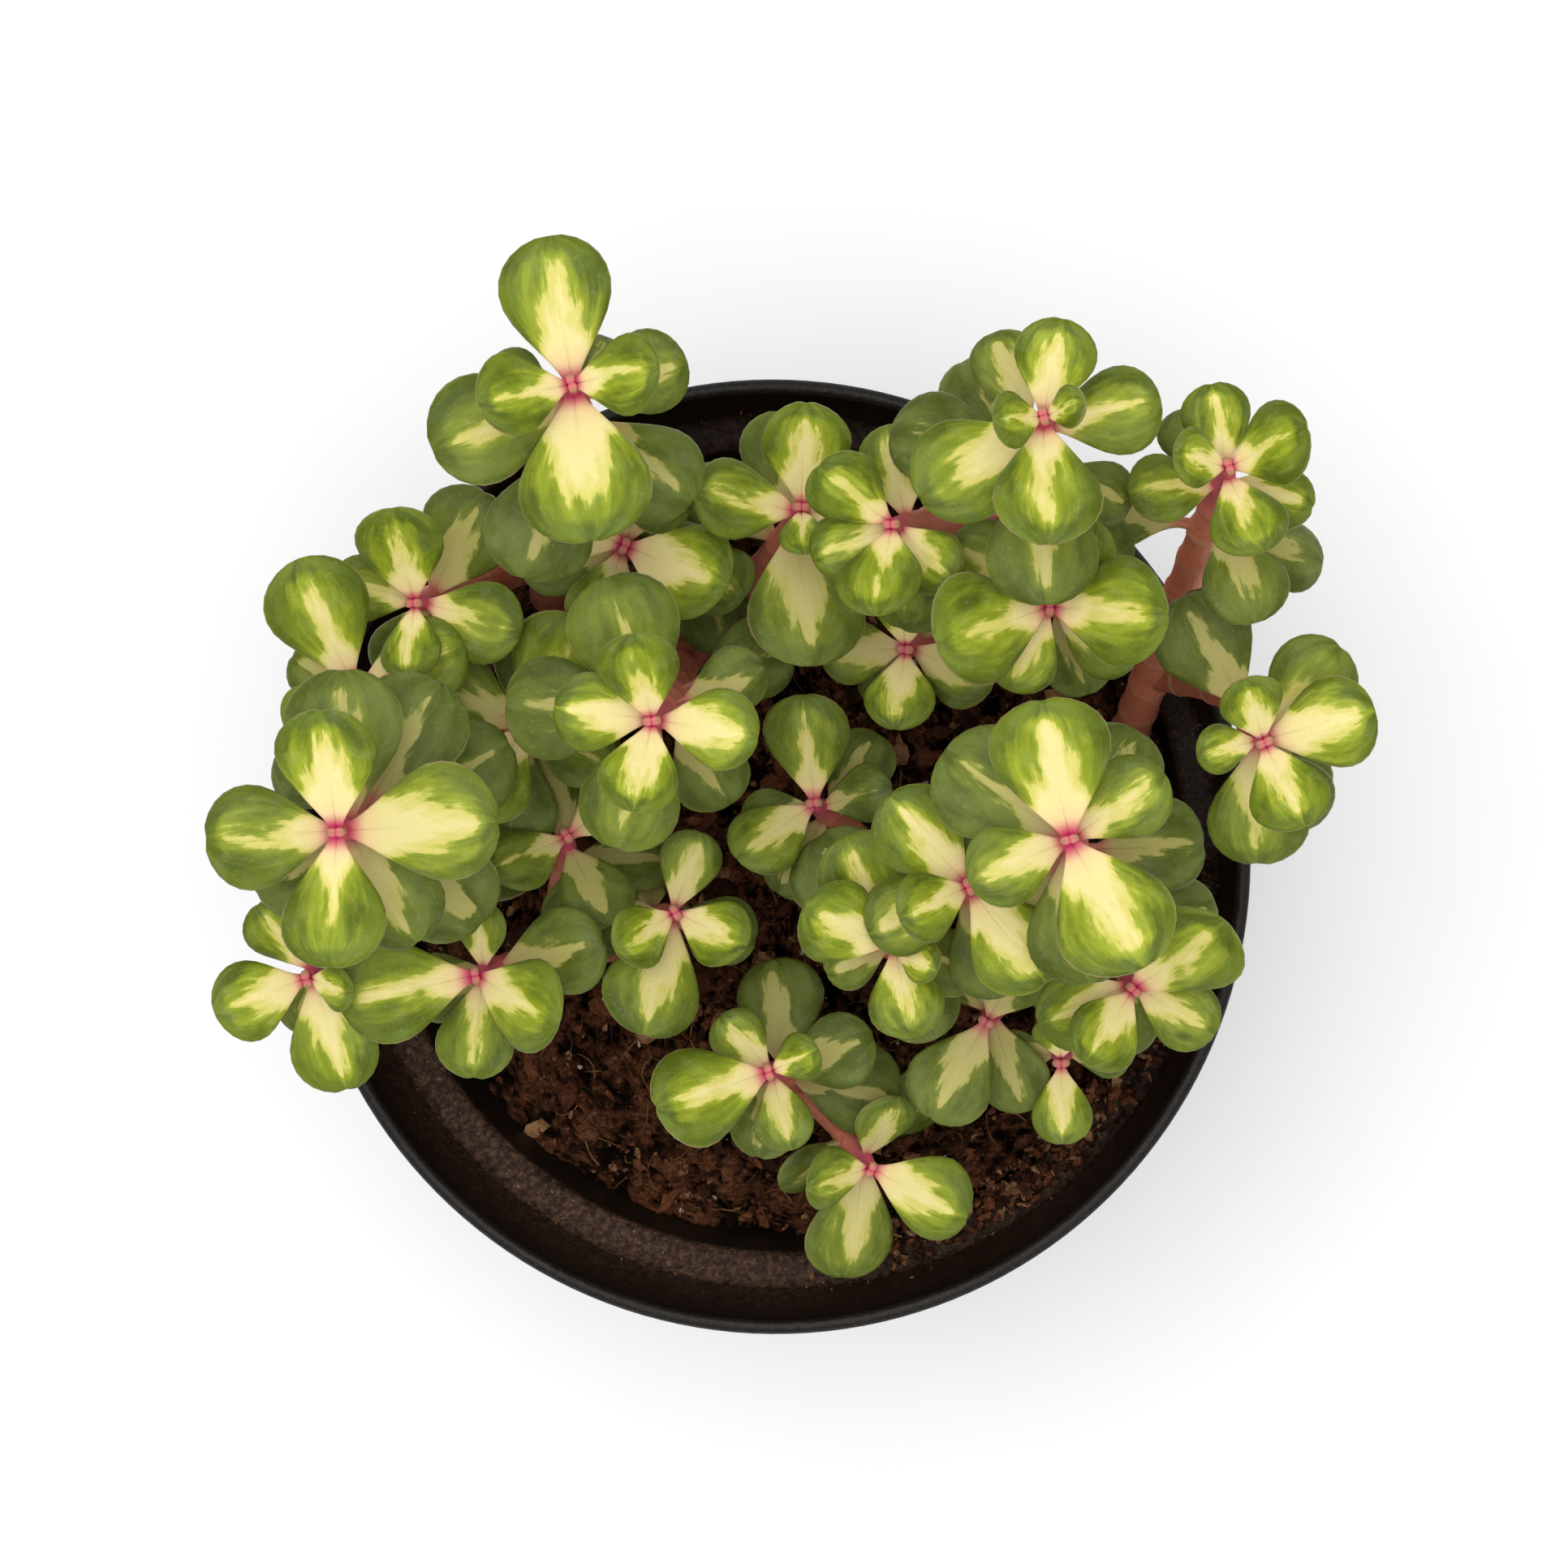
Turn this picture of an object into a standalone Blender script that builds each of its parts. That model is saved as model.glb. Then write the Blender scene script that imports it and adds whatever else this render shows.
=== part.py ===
"""Potted elephant bush: rooted cuttings of a cream-striped Portulacaria afra in a round nursery pot.

+X is east, +Y north, +Z up, and the origin is the centre of the pot's flat foot on the floor.
The sizes below are in millimetres; the meshes are made in metres.
"""

import math
from collections import namedtuple
from itertools import product

import bmesh
import bpy
from mathutils import Vector
from mathutils.bvhtree import BVHTree

MM = 0.001
UP = Vector((0, 0, 1))

# The pot
POT_HEIGHT = 85.0
RIM_RADIUS = 52.5
FOOT_RADIUS = 37.4
POT_WALL = 1.4
POT_FLOOR = 1.6
COLLAR_HEIGHT = 16.0
LEDGE_WIDTH = 3.8
LIP_HEIGHT = 2.2
POT_STEPS = 44
SOIL_STEPS = 36
DRAIN_HOLES = 6
DRAIN_RADIUS = 4.0
DRAIN_CIRCLE = 24.0

# The soil
SOIL_DEPTH_BELOW_RIM = 21.0
SOIL_HEAP = 3.0
SOIL_BUMP = 0.7
FIT = 0.3

# The plant. PLANT_RISE is the height of the tallest shoot tips above the rim.
# A tip beyond the rim keeps OVERHANG_RISE of its own height at any PLANT_RISE, so its stem clears the lip.
PLANT_RISE = 52.0
OVERHANG_RISE = 24.0
BURIED = 12.0
TRUNK_RADIUS = 2.4
BRANCH_RADIUS = 1.8
NECK_RADIUS = 1.45
BUD_RADIUS = 0.9
LEAF_SIZE = 1.0
LEAF_SLENDERNESS = 1.24
LEAF_THICKNESS = 2.3
CLASP_WALL = 0.8
CLASP_HEIGHT = 1.9
CLASP_SIDES = 6
MOST_CROWN_PAIRS = 4
TALL_CROWN_PAIRS = 3

# How far below the shoot's tip each leaf pair grows, and how steeply a pair of each age rises.
PAIR_DROP = (0.6, 3.0, 6.8, 12.5, 18.5, 25.0)
RISE_AT_AGE = ((0, 60), (1, 34), (2, 17), (3, 7), (4, -2), (5, -9), (7, -14))

# The plan was drawn for a rim of this radius and shoots of this height; both stretch with the sizes above.
PLAN_RADIUS = 52.5
PLAN_RISE = 52.0

# Where each rooted cutting leaves the soil: name, (east, north).
CUTTINGS = {
    "north_west": (-27, 28),
    "west": (-37, 7),
    "centre_north": (-11, 23),
    "north_east": (23, 25),
    "east": (38, 10),
    "south_east": (33, -7),
    "centre": (14, -8),
    "south_west": (-12, -9),
    "south": (5, -28),
}

# Each shoot: name, cutting, how far up the cutting's main stem it branches (0 = it is the main stem),
# the tip's (east, north, height above the rim), and the age of its youngest leaf pair.
# Then its leaf pairs from the top down: the compass angle of the first leaf, counted from east towards
# north, and how far out each leaf of the pair reaches. A fourth number turns the second leaf.
SHOOTS = (
    ("north_east_tall", "north_east", 0, (30.8, 46.4, 52), 0.2,
     ((-168, 4.4, 3.4), (79, 9, 12.7, 12), (12, 11.6, 14.2, 21), (112, 10, 15, -20), (-28, 9, 13, 16),
      (-45, 12, 12))),
    ("north_west_tall", "north_west", 0, (-16, 49.7, 52), 0.8,
     ((-162, 8.7, 8.4, -12), (99, 14.4, 15.8, -2), (17, 11.5, 15.2, 6), (-38, 13.2, 8, 9), (-108, 14.5, 9),
      (-20, 12, 11))),
    ("west_big", "west", 0, (-40, 5, 50), 1.5,
     ((93, 12.1, 12.9, -2), (4, 16.2, 13.4, -1), (92, 16.2, 13.6, 29), (61, 15, 11.5, -28), (146, 10.5, 14, -11),
      (30, 13, 12))),
    ("east_big", "south_east", 0, (33.4, 4.4, 48), 1.3,
     ((101, 13.6, 14.2, 20), (36, 11.2, 10.6, -12), (144, 15.7, 14.4, -46), (60, 12, 13), (5, 12, 12),
      (70, 12, 12))),
    ("centre_left", "centre_north", 0, (-9, 16, 42), 0.7,
     ((98, 8.6, 8.2, -17), (171, 9.6, 10.5, 1), (109, 15, 14, -37), (22, 9.5, 14.5, -25), (-59, 11, 12),
      (20, 12, 12))),
    ("north_east_edge", "east", 0, (49.2, 41.7, 40), 0.4,
     ((20, 7.1, 5.2, -22), (101, 8.1, 9.1, 9), (-18, 9.2, 9.5, 30), (104, 9, 11.5), (-10, 11, 12))),
    ("south_centre_high", "centre", 0, (23, -1, 36), 0.6,
     ((-157, 7.2, 4.6), (-52, 12.2, 12, 4), (35, 11, 11), (-65, 12, 11))),
    ("north_inner", "north_east", 0.45, (15, 36, 36), 0.7,
     ((-90, 8.6, 8, 47), (-42, 8.3, 8.6, 65), (100, 10, 10), (60, 11, 12))),
    ("east_edge", "east", 0.3, (53, 13.8, 36), 0.7,
     ((111, 6.8, 8.1, 3), (17, 11.2, 6.4, -6), (48, 12.2, 13.2, 42), (119, 13.3, 11), (-60, 12, 12))),
    ("east_inner", "north_east", 0.25, (31.2, 27.6, 37), 0.7,
     ((-3, 11, 11.5, 20), (-117, 9, 9.5), (-34, 10.3, 12), (-72, 10, 10))),
    ("south_centre_low", "centre", 0.3, (14.8, -7.6, 28), 0.8,
     ((153, 9.2, 4.8), (-77, 9.4, 12, 10), (-156, 7.4, 9.5, -41), (115, 14, 11))),
    ("west_back", "west", 0.3, (-42.2, 19.5, 26), 0.9,
     ((110, 12.2, 7), (33, 11.5, 8), (150, 9, 10))),
    ("south_west_edge", "west", 0.22, (-47, -11.5, 26), 0.8,
     ((-165, 8.4, 5.2, -19), (-58, 12.3, 9), (25, 9, 8.8, 42))),
    ("north_back", "centre_north", 0.22, (5, 38, 24), 0.6,
     ((90, 9, 5), (175, 11, 8), (94, 12, 16), (150, 12, 10))),
    ("north_west_edge", "north_west", 0.2, (-36, 28, 23), 0.8,
     ((93, 9.6, 7), (-15, 11, 9), (60, 13, 10))),
    ("south_west_low", "south_west", 0, (-29.6, -11.4, 22), 0.9,
     ((-170, 12.1, 10.8, -31), (88, 7.5, 10.6), (16, 12.8, 10))),
    ("south_east_edge", "south_east", 0.3, (39.8, -12.5, 22), 0.7,
     ((48, 11.8, 8), (-30, 9.5, 10.2, 48), (-88, 9, 9), (20, 12, 11))),
    ("north_gap", "north_west", 0.15, (-14, 34, 20), 1.0,
     ((-22, 11, 10), (70, 10, 10), (-10, 11, 11))),
    ("west_inner", "west", 0.12, (-25, 15, 18), 1.2,
     ((62, 12, 11), (155, 12, 10), (80, 12, 13), (-15, 12, 11))),
    ("centre_gap", "south_west", 0.5, (-21, 3, 13), 1.4,
     ((35, 11, 9), (-70, 11, 12), (20, 12, 11))),
    ("south_west_inner", "south_west", 0.35, (-9, -5, 16), 0.8,
     ((-151, 7.3, 7.5, -54), (71, 8.6, 13.2, 2), (166, 13.2, 10), (85, 10, 10))),
    ("south_low", "south", 0, (1, -22, 16), 0.8,
     ((-163, 11.2, 5.6, 9), (132, 7.5, 8.2, -25), (19, 11, 9.2, 60), (98, 12.8, 12.7, 42))),
    ("north_low", "centre_north", 0.1, (-9, 34, 12), 1.3,
     ((140, 10, 9), (60, 10, 11), (-35, 11, 10))),
    ("centre_low", "north_east", 0.12, (15.4, 23.1, 14), 0.8,
     ((-93, 7.6, 7), (-22, 9.7, 8.8, 27), (55, 8, 8))),
    ("centre_bud", "centre", 0.12, (5.7, 6.6, 14), 1.3,
     ((93, 10.7, 9.4, -53), (12, 8, 8), (60, 10, 10))),
    ("south_gap", "south_east", 0.14, (24, -17, 9), 1.4,
     ((-120, 11, 10), (-55, 11, 9))),
    ("south_east_low", "south_east", 0.1, (32, -21.5, 8), 1.0,
     ((-88, 7.4, 6), (6, 7, 7))),
    ("south_rim", "south", 0.4, (11.3, -33.5, 5), 0.8,
     ((-22, 9.6, 7.4, 18), (-95, 12.9, 9), (14, 12.9, 9))),
)

# Stations along a leaf: (along, half width, thickness), each as a share of the leaf's own size.
LEAF_STATIONS = ((0.0, 0.14, 0.6), (0.29, 0.56, 0.95), (0.62, 1.0, 1.0), (0.87, 0.76, 0.8))

POT_BLACK = (0.012, 0.012, 0.013)
SOIL_BROWN = (0.06, 0.035, 0.022)
STEM_RED = (0.22, 0.06, 0.045)
YOUNG_LEAF = (0.42, 0.50, 0.10)
OLD_LEAF = (0.16, 0.24, 0.13)


def clear_scene():
    for item in list(bpy.data.objects):
        bpy.data.objects.remove(item, do_unlink=True)


def material(name, colour, roughness):
    made = bpy.data.materials.new(name)
    made.use_nodes = True
    shader = made.node_tree.nodes["Principled BSDF"]
    shader.inputs["Base Color"].default_value = (*colour, 1)
    shader.inputs["Roughness"].default_value = roughness
    return made


def solid(name, shape, look=None, sharp_deg=40):
    """An object from (points in mm, faces), shaded smooth except across sharp edges."""
    points, faces = shape
    mesh = bpy.data.meshes.new(name)
    mesh.from_pydata([Vector(point) * MM for point in points], [], faces)
    build = bmesh.new()
    build.from_mesh(mesh)
    bmesh.ops.recalc_face_normals(build, faces=build.faces)
    bmesh.ops.triangulate(build, faces=build.faces)
    build.to_mesh(mesh)
    build.free()
    for face in mesh.polygons:
        face.use_smooth = True
    mesh.set_sharp_from_angle(angle=math.radians(sharp_deg))
    made = bpy.data.objects.new(name, mesh)
    bpy.context.scene.collection.objects.link(made)
    if look:
        mesh.materials.append(look)
    return made


def combine(target, others, operation):
    """Adds the other objects to the target, or cuts them from it, and removes them."""
    group = bpy.data.collections.new(target.name + "_tools")
    bpy.context.scene.collection.children.link(group)
    for other in others:
        bpy.context.scene.collection.objects.unlink(other)
        group.objects.link(other)
    modifier = target.modifiers.new(operation.lower(), "BOOLEAN")
    modifier.operation = operation
    modifier.solver = "EXACT"
    modifier.operand_type = "COLLECTION"
    modifier.collection = group
    bpy.context.view_layer.update()
    graph = bpy.context.evaluated_depsgraph_get()
    joined = bpy.data.meshes.new_from_object(target.evaluated_get(graph))
    target.modifiers.clear()
    target.data = joined
    for other in others:
        bpy.data.objects.remove(other, do_unlink=True)
    bpy.data.collections.remove(group)
    return target


def turned(profile, steps):
    """A closed body turned round +Z from (radius, height) points that start and end on the axis."""
    points = [(0, 0, profile[0][1])]
    faces = []
    for radius, height in profile[1:-1]:
        for i in range(steps):
            angle = 2 * math.pi * i / steps
            points.append((radius * math.cos(angle), radius * math.sin(angle), height))
    points.append((0, 0, profile[-1][1]))
    rings = len(profile) - 2
    for i in range(steps):
        j = (i + 1) % steps
        faces.append((0, 1 + j, 1 + i))
        for k in range(rings - 1):
            low, high = 1 + k * steps, 1 + (k + 1) * steps
            faces.append((low + i, low + j, high + j, high + i))
        last = 1 + (rings - 1) * steps
        faces.append((last + i, last + j, len(points) - 1))
    return points, faces


# ---------------------------------------------------------------- pot and soil

LEDGE_Z = POT_HEIGHT - COLLAR_HEIGHT
COLLAR_INNER = RIM_RADIUS - 3.2
WALL_TOP_INNER = COLLAR_INNER - LEDGE_WIDTH
WALL_FOOT_INNER = FOOT_RADIUS - POT_WALL


def wall_inner(height):
    """Radius of the pot's inner wall below the ledge."""
    share = (height - POT_FLOOR) / (LEDGE_Z - POT_FLOOR)
    return WALL_FOOT_INNER + (WALL_TOP_INNER - WALL_FOOT_INNER) * share


def pot_profile():
    lip_low = POT_HEIGHT - LIP_HEIGHT
    return (
        (0, 0),
        (FOOT_RADIUS - 1.0, 0),
        (FOOT_RADIUS, 1.0),
        (WALL_TOP_INNER + POT_WALL, LEDGE_Z - 1.4),
        (COLLAR_INNER + POT_WALL, LEDGE_Z - 0.4),
        (RIM_RADIUS - 0.9, lip_low - 0.3),
        (RIM_RADIUS, lip_low + 0.2),
        (RIM_RADIUS, POT_HEIGHT - 0.5),
        (RIM_RADIUS - 0.5, POT_HEIGHT),
        (RIM_RADIUS - 1.2, POT_HEIGHT),
        (RIM_RADIUS - 1.7, POT_HEIGHT - 0.5),
        (COLLAR_INNER, LEDGE_Z + 1.0),
        (COLLAR_INNER - 0.7, LEDGE_Z + 0.4),
        (WALL_TOP_INNER, LEDGE_Z),
        (WALL_FOOT_INNER, POT_FLOOR),
        (0, POT_FLOOR),
    )


def make_pot():
    pot = solid("pot", turned(pot_profile(), POT_STEPS), material("pot_black_plastic", POT_BLACK, 0.42), 30)
    drill = ((0, -3), (DRAIN_RADIUS, -3), (DRAIN_RADIUS, POT_FLOOR + 3), (0, POT_FLOOR + 3))
    drills = []
    for i in range(DRAIN_HOLES):
        angle = 2 * math.pi * i / DRAIN_HOLES
        east, north = DRAIN_CIRCLE * math.cos(angle), DRAIN_CIRCLE * math.sin(angle)
        points, faces = turned(drill, 12)
        drills.append(solid(f"drill_{i}", ([(x + east, y + north, z) for x, y, z in points], faces)))
    return combine(pot, drills, "DIFFERENCE")


def soil_top(east, north):
    """Height of the soil: gently uneven, and heaped against the wall to the south-east."""
    bumps = math.sin(0.21 * east + 0.6) * math.cos(0.17 * north) + 0.6 * math.sin(0.33 * north - 0.2 * east)
    towards = (0.72 * east - 0.69 * north) / WALL_TOP_INNER
    heap = max(0.0, towards - 0.2) ** 1.5 * 1.4
    return POT_HEIGHT - SOIL_DEPTH_BELOW_RIM + SOIL_BUMP * bumps + SOIL_HEAP * heap


def soil_shape():
    rings = (0.22, 0.48, 0.74, 1.0)
    points = [(0, 0, soil_top(0, 0))]
    for share, i in product(rings, range(SOIL_STEPS)):
        angle = 2 * math.pi * i / SOIL_STEPS
        radius = share * (wall_inner(POT_HEIGHT - SOIL_DEPTH_BELOW_RIM) - FIT)
        height = soil_top(radius * math.cos(angle), radius * math.sin(angle))
        if share == 1.0:
            radius = wall_inner(height) - FIT - 0.05
        points.append((radius * math.cos(angle), radius * math.sin(angle), height))
    floor = POT_FLOOR + FIT
    for radius, height in ((wall_inner(floor + 1.0) - FIT - 0.1, floor + 1.0), (WALL_FOOT_INNER - 1.2, floor)):
        for i in range(SOIL_STEPS):
            angle = 2 * math.pi * i / SOIL_STEPS
            points.append((radius * math.cos(angle), radius * math.sin(angle), height))
    points.append((0, 0, floor))
    faces = []
    for i in range(SOIL_STEPS):
        j = (i + 1) % SOIL_STEPS
        faces.append((0, 1 + i, 1 + j))
        for k in range(len(rings) + 1):
            near, far = 1 + k * SOIL_STEPS, 1 + (k + 1) * SOIL_STEPS
            faces.append((near + j, near + i, far + i, far + j))
        faces.append((len(points) - 1 - SOIL_STEPS + i, len(points) - 1, len(points) - 1 - SOIL_STEPS + j))
    return points, faces


# ---------------------------------------------------------------- stems

def plan_point(east, north, height):
    spread, stretch = RIM_RADIUS / PLAN_RADIUS, PLANT_RISE / PLAN_RISE
    kept = min(height, OVERHANG_RISE if math.hypot(east, north) > PLAN_RADIUS else 0)
    return Vector((east * spread, north * spread, POT_HEIGHT + kept + (height - kept) * stretch))


class Path:
    """A stem's centre line, measured from its tip: a smooth bend between two points and two directions."""

    def __init__(self, start, start_way, tip, tip_way, steps=48):
        reach = (tip - start).length
        near, far = start + start_way * reach * 0.36, tip - tip_way * reach * 0.34
        self.points = []
        for i in range(steps + 1):
            t = i / steps
            s = 1 - t
            self.points.append(s**3 * start + 3 * s * s * t * near + 3 * s * t * t * far + t**3 * tip)
        self.gone = [0.0]
        for a, b in zip(self.points, self.points[1:]):
            self.gone.append(self.gone[-1] + (b - a).length)
        self.length = self.gone[-1]

    def at(self, below_tip):
        """(point, direction towards the tip) at this distance below the tip."""
        place = min(max(self.length - below_tip, 0.0), self.length - 1e-6)
        i = next(k for k in range(len(self.gone) - 1) if self.gone[k + 1] > place)
        share = (place - self.gone[i]) / (self.gone[i + 1] - self.gone[i])
        way = (self.points[i + 1] - self.points[i]).normalized()
        return self.points[i].lerp(self.points[i + 1], share), way


def tube(path, spans, sides, dome=0.0):
    """A closed tube along a path through (distance below the tip, radius) rings, from the lower end up."""
    points, faces = [], []
    side = path.at(spans[0][0])[1].orthogonal().normalized()
    for below, radius in spans:
        centre, way = path.at(below)
        side = (side - way * side.dot(way)).normalized()
        across = way.cross(side)
        for k in range(sides):
            angle = 2 * math.pi * k / sides
            points.append(centre + radius * (side * math.cos(angle) + across * math.sin(angle)))
    for ring in range(len(spans) - 1):
        low, high = ring * sides, (ring + 1) * sides
        for k in range(sides):
            m = (k + 1) % sides
            faces.append((low + k, low + m, high + m, high + k))
    faces.append(tuple(reversed(range(sides))))
    top = (len(spans) - 1) * sides
    if dome:
        centre, way = path.at(spans[-1][0])
        points.append(centre + way * dome)
        for k in range(sides):
            faces.append((top + k, top + (k + 1) % sides, len(points) - 1))
    else:
        faces.append(tuple(range(top, top + sides)))
    return points, faces


def even(first, last, count):
    return [first + (last - first) * i / (count - 1) for i in range(count)]


class Shoot:
    """One growing shoot: its centre line, its radius along it, and its leaf pairs."""

    def __init__(self, row, trunks):
        self.name, self.cutting, branch_at, tip, self.age, self.pairs = row
        east, north = CUTTINGS[self.cutting]
        tip = plan_point(*tip)
        if branch_at:
            trunk = trunks[self.cutting]
            self.trunk = False
            above = trunk.path.length - BURIED
            start, way = trunk.path.at(above * (1 - branch_at))
            out = Vector((tip.x - start.x, tip.y - start.y, 0))
            out = out.normalized() if out.length > 1 else Vector((1, 0, 0))
            start_way = (way * 0.75 + out * 0.9).normalized()
        else:
            self.trunk = True
            foot = plan_point(east, north, 0)
            start = Vector((foot.x, foot.y, soil_top(foot.x, foot.y) - BURIED))
            start_way = UP
        lean = tip - start
        tip_way = (UP * 1.3 + lean.normalized() * 0.7).normalized()
        self.path = Path(start, start_way, tip, tip_way)
        count = len(self.pairs)
        self.crown_pairs = count if count <= MOST_CROWN_PAIRS else TALL_CROWN_PAIRS
        self.crown_length = PAIR_DROP[self.crown_pairs - 1] + 2.4

    def radius(self, below):
        """Stem radius, swelling from the neck under the crown down to the root or the branch's start."""
        root = TRUNK_RADIUS if self.trunk else BRANCH_RADIUS
        share = (below - self.crown_length) / max(self.path.length - self.crown_length, 1)
        return NECK_RADIUS + (root - NECK_RADIUS) * max(0.0, share) ** 0.8

    def rings(self):
        count = 7 if self.trunk else 6
        return [(below, self.radius(below)) for below in even(self.path.length, self.crown_length, count)]

    def stem(self):
        return tube(self.path, self.rings(), 8 if self.trunk else 6)

    def socket(self):
        """The stem's buried end, one fit larger all round, to cut from the soil."""
        spans = [(below, radius + FIT + 0.05) for below, radius in self.rings()[:4]]
        points, faces = tube(self.path, spans, 8)
        drop = self.path.at(self.path.length)[1] * -(FIT + 0.1)
        return [point + drop if i < 8 else point for i, point in enumerate(points)], faces

    def tip(self):
        """The soft green end of the stem that carries the crown's leaves."""
        low = self.crown_length - FIT
        spans = [(low, NECK_RADIUS), (low * 0.45, NECK_RADIUS * 0.86), (1.0, BUD_RADIUS)]
        return tube(self.path, spans, 6, 1.4)

    def clasp_inner(self, level):
        return (self.radius(PAIR_DROP[level]) + FIT + 0.05) / math.cos(math.pi / CLASP_SIDES)

    def clasp(self, level):
        """The swollen ring round the stem that joins a lower pair of leaves."""
        below = PAIR_DROP[level]
        centre, way = self.path.at(below)
        side = way.orthogonal().normalized()
        across = way.cross(side)
        inner = self.clasp_inner(level)
        points, faces = [], []
        corners = ((inner, -0.5), (inner + CLASP_WALL, -0.35), (inner + CLASP_WALL, 0.35), (inner, 0.5))
        for k in range(CLASP_SIDES):
            angle = 2 * math.pi * k / CLASP_SIDES
            out = side * math.cos(angle) + across * math.sin(angle)
            for radius, height in corners:
                points.append(centre + out * radius + way * height * CLASP_HEIGHT)
        for k in range(CLASP_SIDES):
            m = (k + 1) % CLASP_SIDES
            for n in range(4):
                o = (n + 1) % 4
                faces.append((4 * k + n, 4 * m + n, 4 * m + o, 4 * k + o))
        return points, faces

    def leaf_start(self, level):
        """How far from the centre line a leaf of this level starts, inside the body that carries it."""
        if level < self.crown_pairs:
            return 0.55
        return self.clasp_inner(level) + 0.25


# ---------------------------------------------------------------- leaves

def rise_of(age):
    for (a, low), (b, high) in zip(RISE_AT_AGE, RISE_AT_AGE[1:]):
        if age <= b:
            return low + (high - low) * (age - a) / (b - a)
    return RISE_AT_AGE[-1][1]


# A leaf leaves the stem at its origin, heading out and rising by an angle from square to the stem's way.
Leaf = namedtuple("Leaf", "origin way out rise length droop")


def leaf_frame(leaf):
    """(along, normal, across) directions of a leaf, and its (half width, half thickness)."""
    along = leaf.out * math.cos(leaf.rise) + leaf.way * math.sin(leaf.rise)
    normal = leaf.way * math.cos(leaf.rise) - leaf.out * math.sin(leaf.rise)
    half_thick = LEAF_THICKNESS / 2 * min(1.0, 0.55 + 0.45 * leaf.length / 14)
    return (along, normal, normal.cross(along)), (leaf.length / LEAF_SLENDERNESS / 2, half_thick)


def leaf_shape(leaf):
    """The fleshy obovate solid of a leaf."""
    (along, normal, across), (half_width, half_thick) = leaf_frame(leaf)
    points, faces = [], []
    for share, wide, thick in LEAF_STATIONS:
        sag = leaf.droop * leaf.length * share * share
        centre = leaf.origin + along * share * leaf.length - normal * sag
        points.append(centre + across * half_width * wide)
        points.append(centre + normal * half_thick * thick)
        points.append(centre - across * half_width * wide)
        points.append(centre - normal * half_thick * thick)
    points.append(leaf.origin + along * leaf.length - normal * leaf.droop * leaf.length)
    faces.append((0, 3, 2, 1))
    for k in range(len(LEAF_STATIONS) - 1):
        for n in range(4):
            m = (n + 1) % 4
            faces.append((4 * k + n, 4 * k + m, 4 * k + 4 + m, 4 * k + 4 + n))
    last = 4 * (len(LEAF_STATIONS) - 1)
    for n in range(4):
        faces.append((last + n, last + (n + 1) % 4, len(points) - 1))
    return points, faces


class Obstacle:
    """A shape that leaves have to miss, with a ball round it to skip the far ones quickly."""

    def __init__(self, shape, owner=None):
        self.points, faces = [Vector(point) for point in shape[0]], shape[1]
        self.owner = owner
        self.tree = BVHTree.FromPolygons(self.points, faces)
        low = Vector(min(p[i] for p in self.points) for i in range(3))
        high = Vector(max(p[i] for p in self.points) for i in range(3))
        self.centre, self.reach = (low + high) / 2, (high - low).length / 2

    def hits(self, other, room):
        if (self.centre - other.centre).length > self.reach + other.reach + room:
            return False
        if self.tree.overlap(other.tree):
            return True
        for a, b in ((self, other), (other, self)):
            for point in a.points:
                if (point - b.centre).length < b.reach + room and b.tree.find_nearest(point, room)[0]:
                    return True
        return False


def outer_part(shape):
    """The leaf without its narrow base, which is allowed to meet the stem and leaves it grows among."""
    points, faces = shape
    kept = [tuple(i - 4 for i in face) for face in faces if min(face) >= 4]
    return points[4:], kept + [(0, 3, 2, 1)]


SIZES = (1.0, 0.93, 0.86, 0.78, 0.7, 0.6, 0.5, 0.4)
TURNS = sorted(product((0, 9, -9, 18, -18, 28, -28, 40, -40), (0, 8, -8, 16, -16, 26, -26, 38)),
               key=lambda turn: abs(turn[0]) + 1.2 * abs(turn[1]))


def place_leaf(shoot, level, bearing, reach, others):
    """The leaf nearest to its planned bearing, rise and size that misses everything already there."""
    origin, way = shoot.path.at(PAIR_DROP[level])
    rise = rise_of(shoot.age + level)
    length = LEAF_SIZE * reach / max(0.55, math.cos(math.radians(rise)))
    droop = 0.05 + 0.02 * level
    for size, (turn, lift) in product(SIZES, TURNS):
        angle = math.radians(bearing + turn)
        out = Vector((math.cos(angle), math.sin(angle), 0))
        out = (out - way * out.dot(way)).normalized()
        start = origin + out * shoot.leaf_start(level)
        leaf = Leaf(start, way, out, math.radians(rise + lift), length * size, droop)
        shape = leaf_shape(leaf)
        whole, outer = Obstacle(shape), Obstacle(outer_part(shape))
        for other in others:
            if (outer if other.owner == shoot.name else whole).hits(other, FIT):
                break
        else:
            return leaf
    return leaf


def grow(shoots, fixed):
    """Every leaf by (shoot name, level, side): the young pairs first, the tallest shoots first."""
    leaves = {}
    taken = list(fixed)
    deepest = max(len(shoot.pairs) for shoot in shoots)
    for level, shoot in product(range(deepest), shoots):
        if level >= len(shoot.pairs):
            continue
        bearing, first, second, *swing = shoot.pairs[level]
        for side, (angle, reach) in enumerate(((bearing, first), (bearing + 180 + sum(swing), second))):
            leaf = place_leaf(shoot, level, angle, reach, taken)
            leaves[shoot.name, level, side] = leaf
            taken.append(Obstacle(leaf_shape(leaf), shoot.name))
    return leaves


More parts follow.
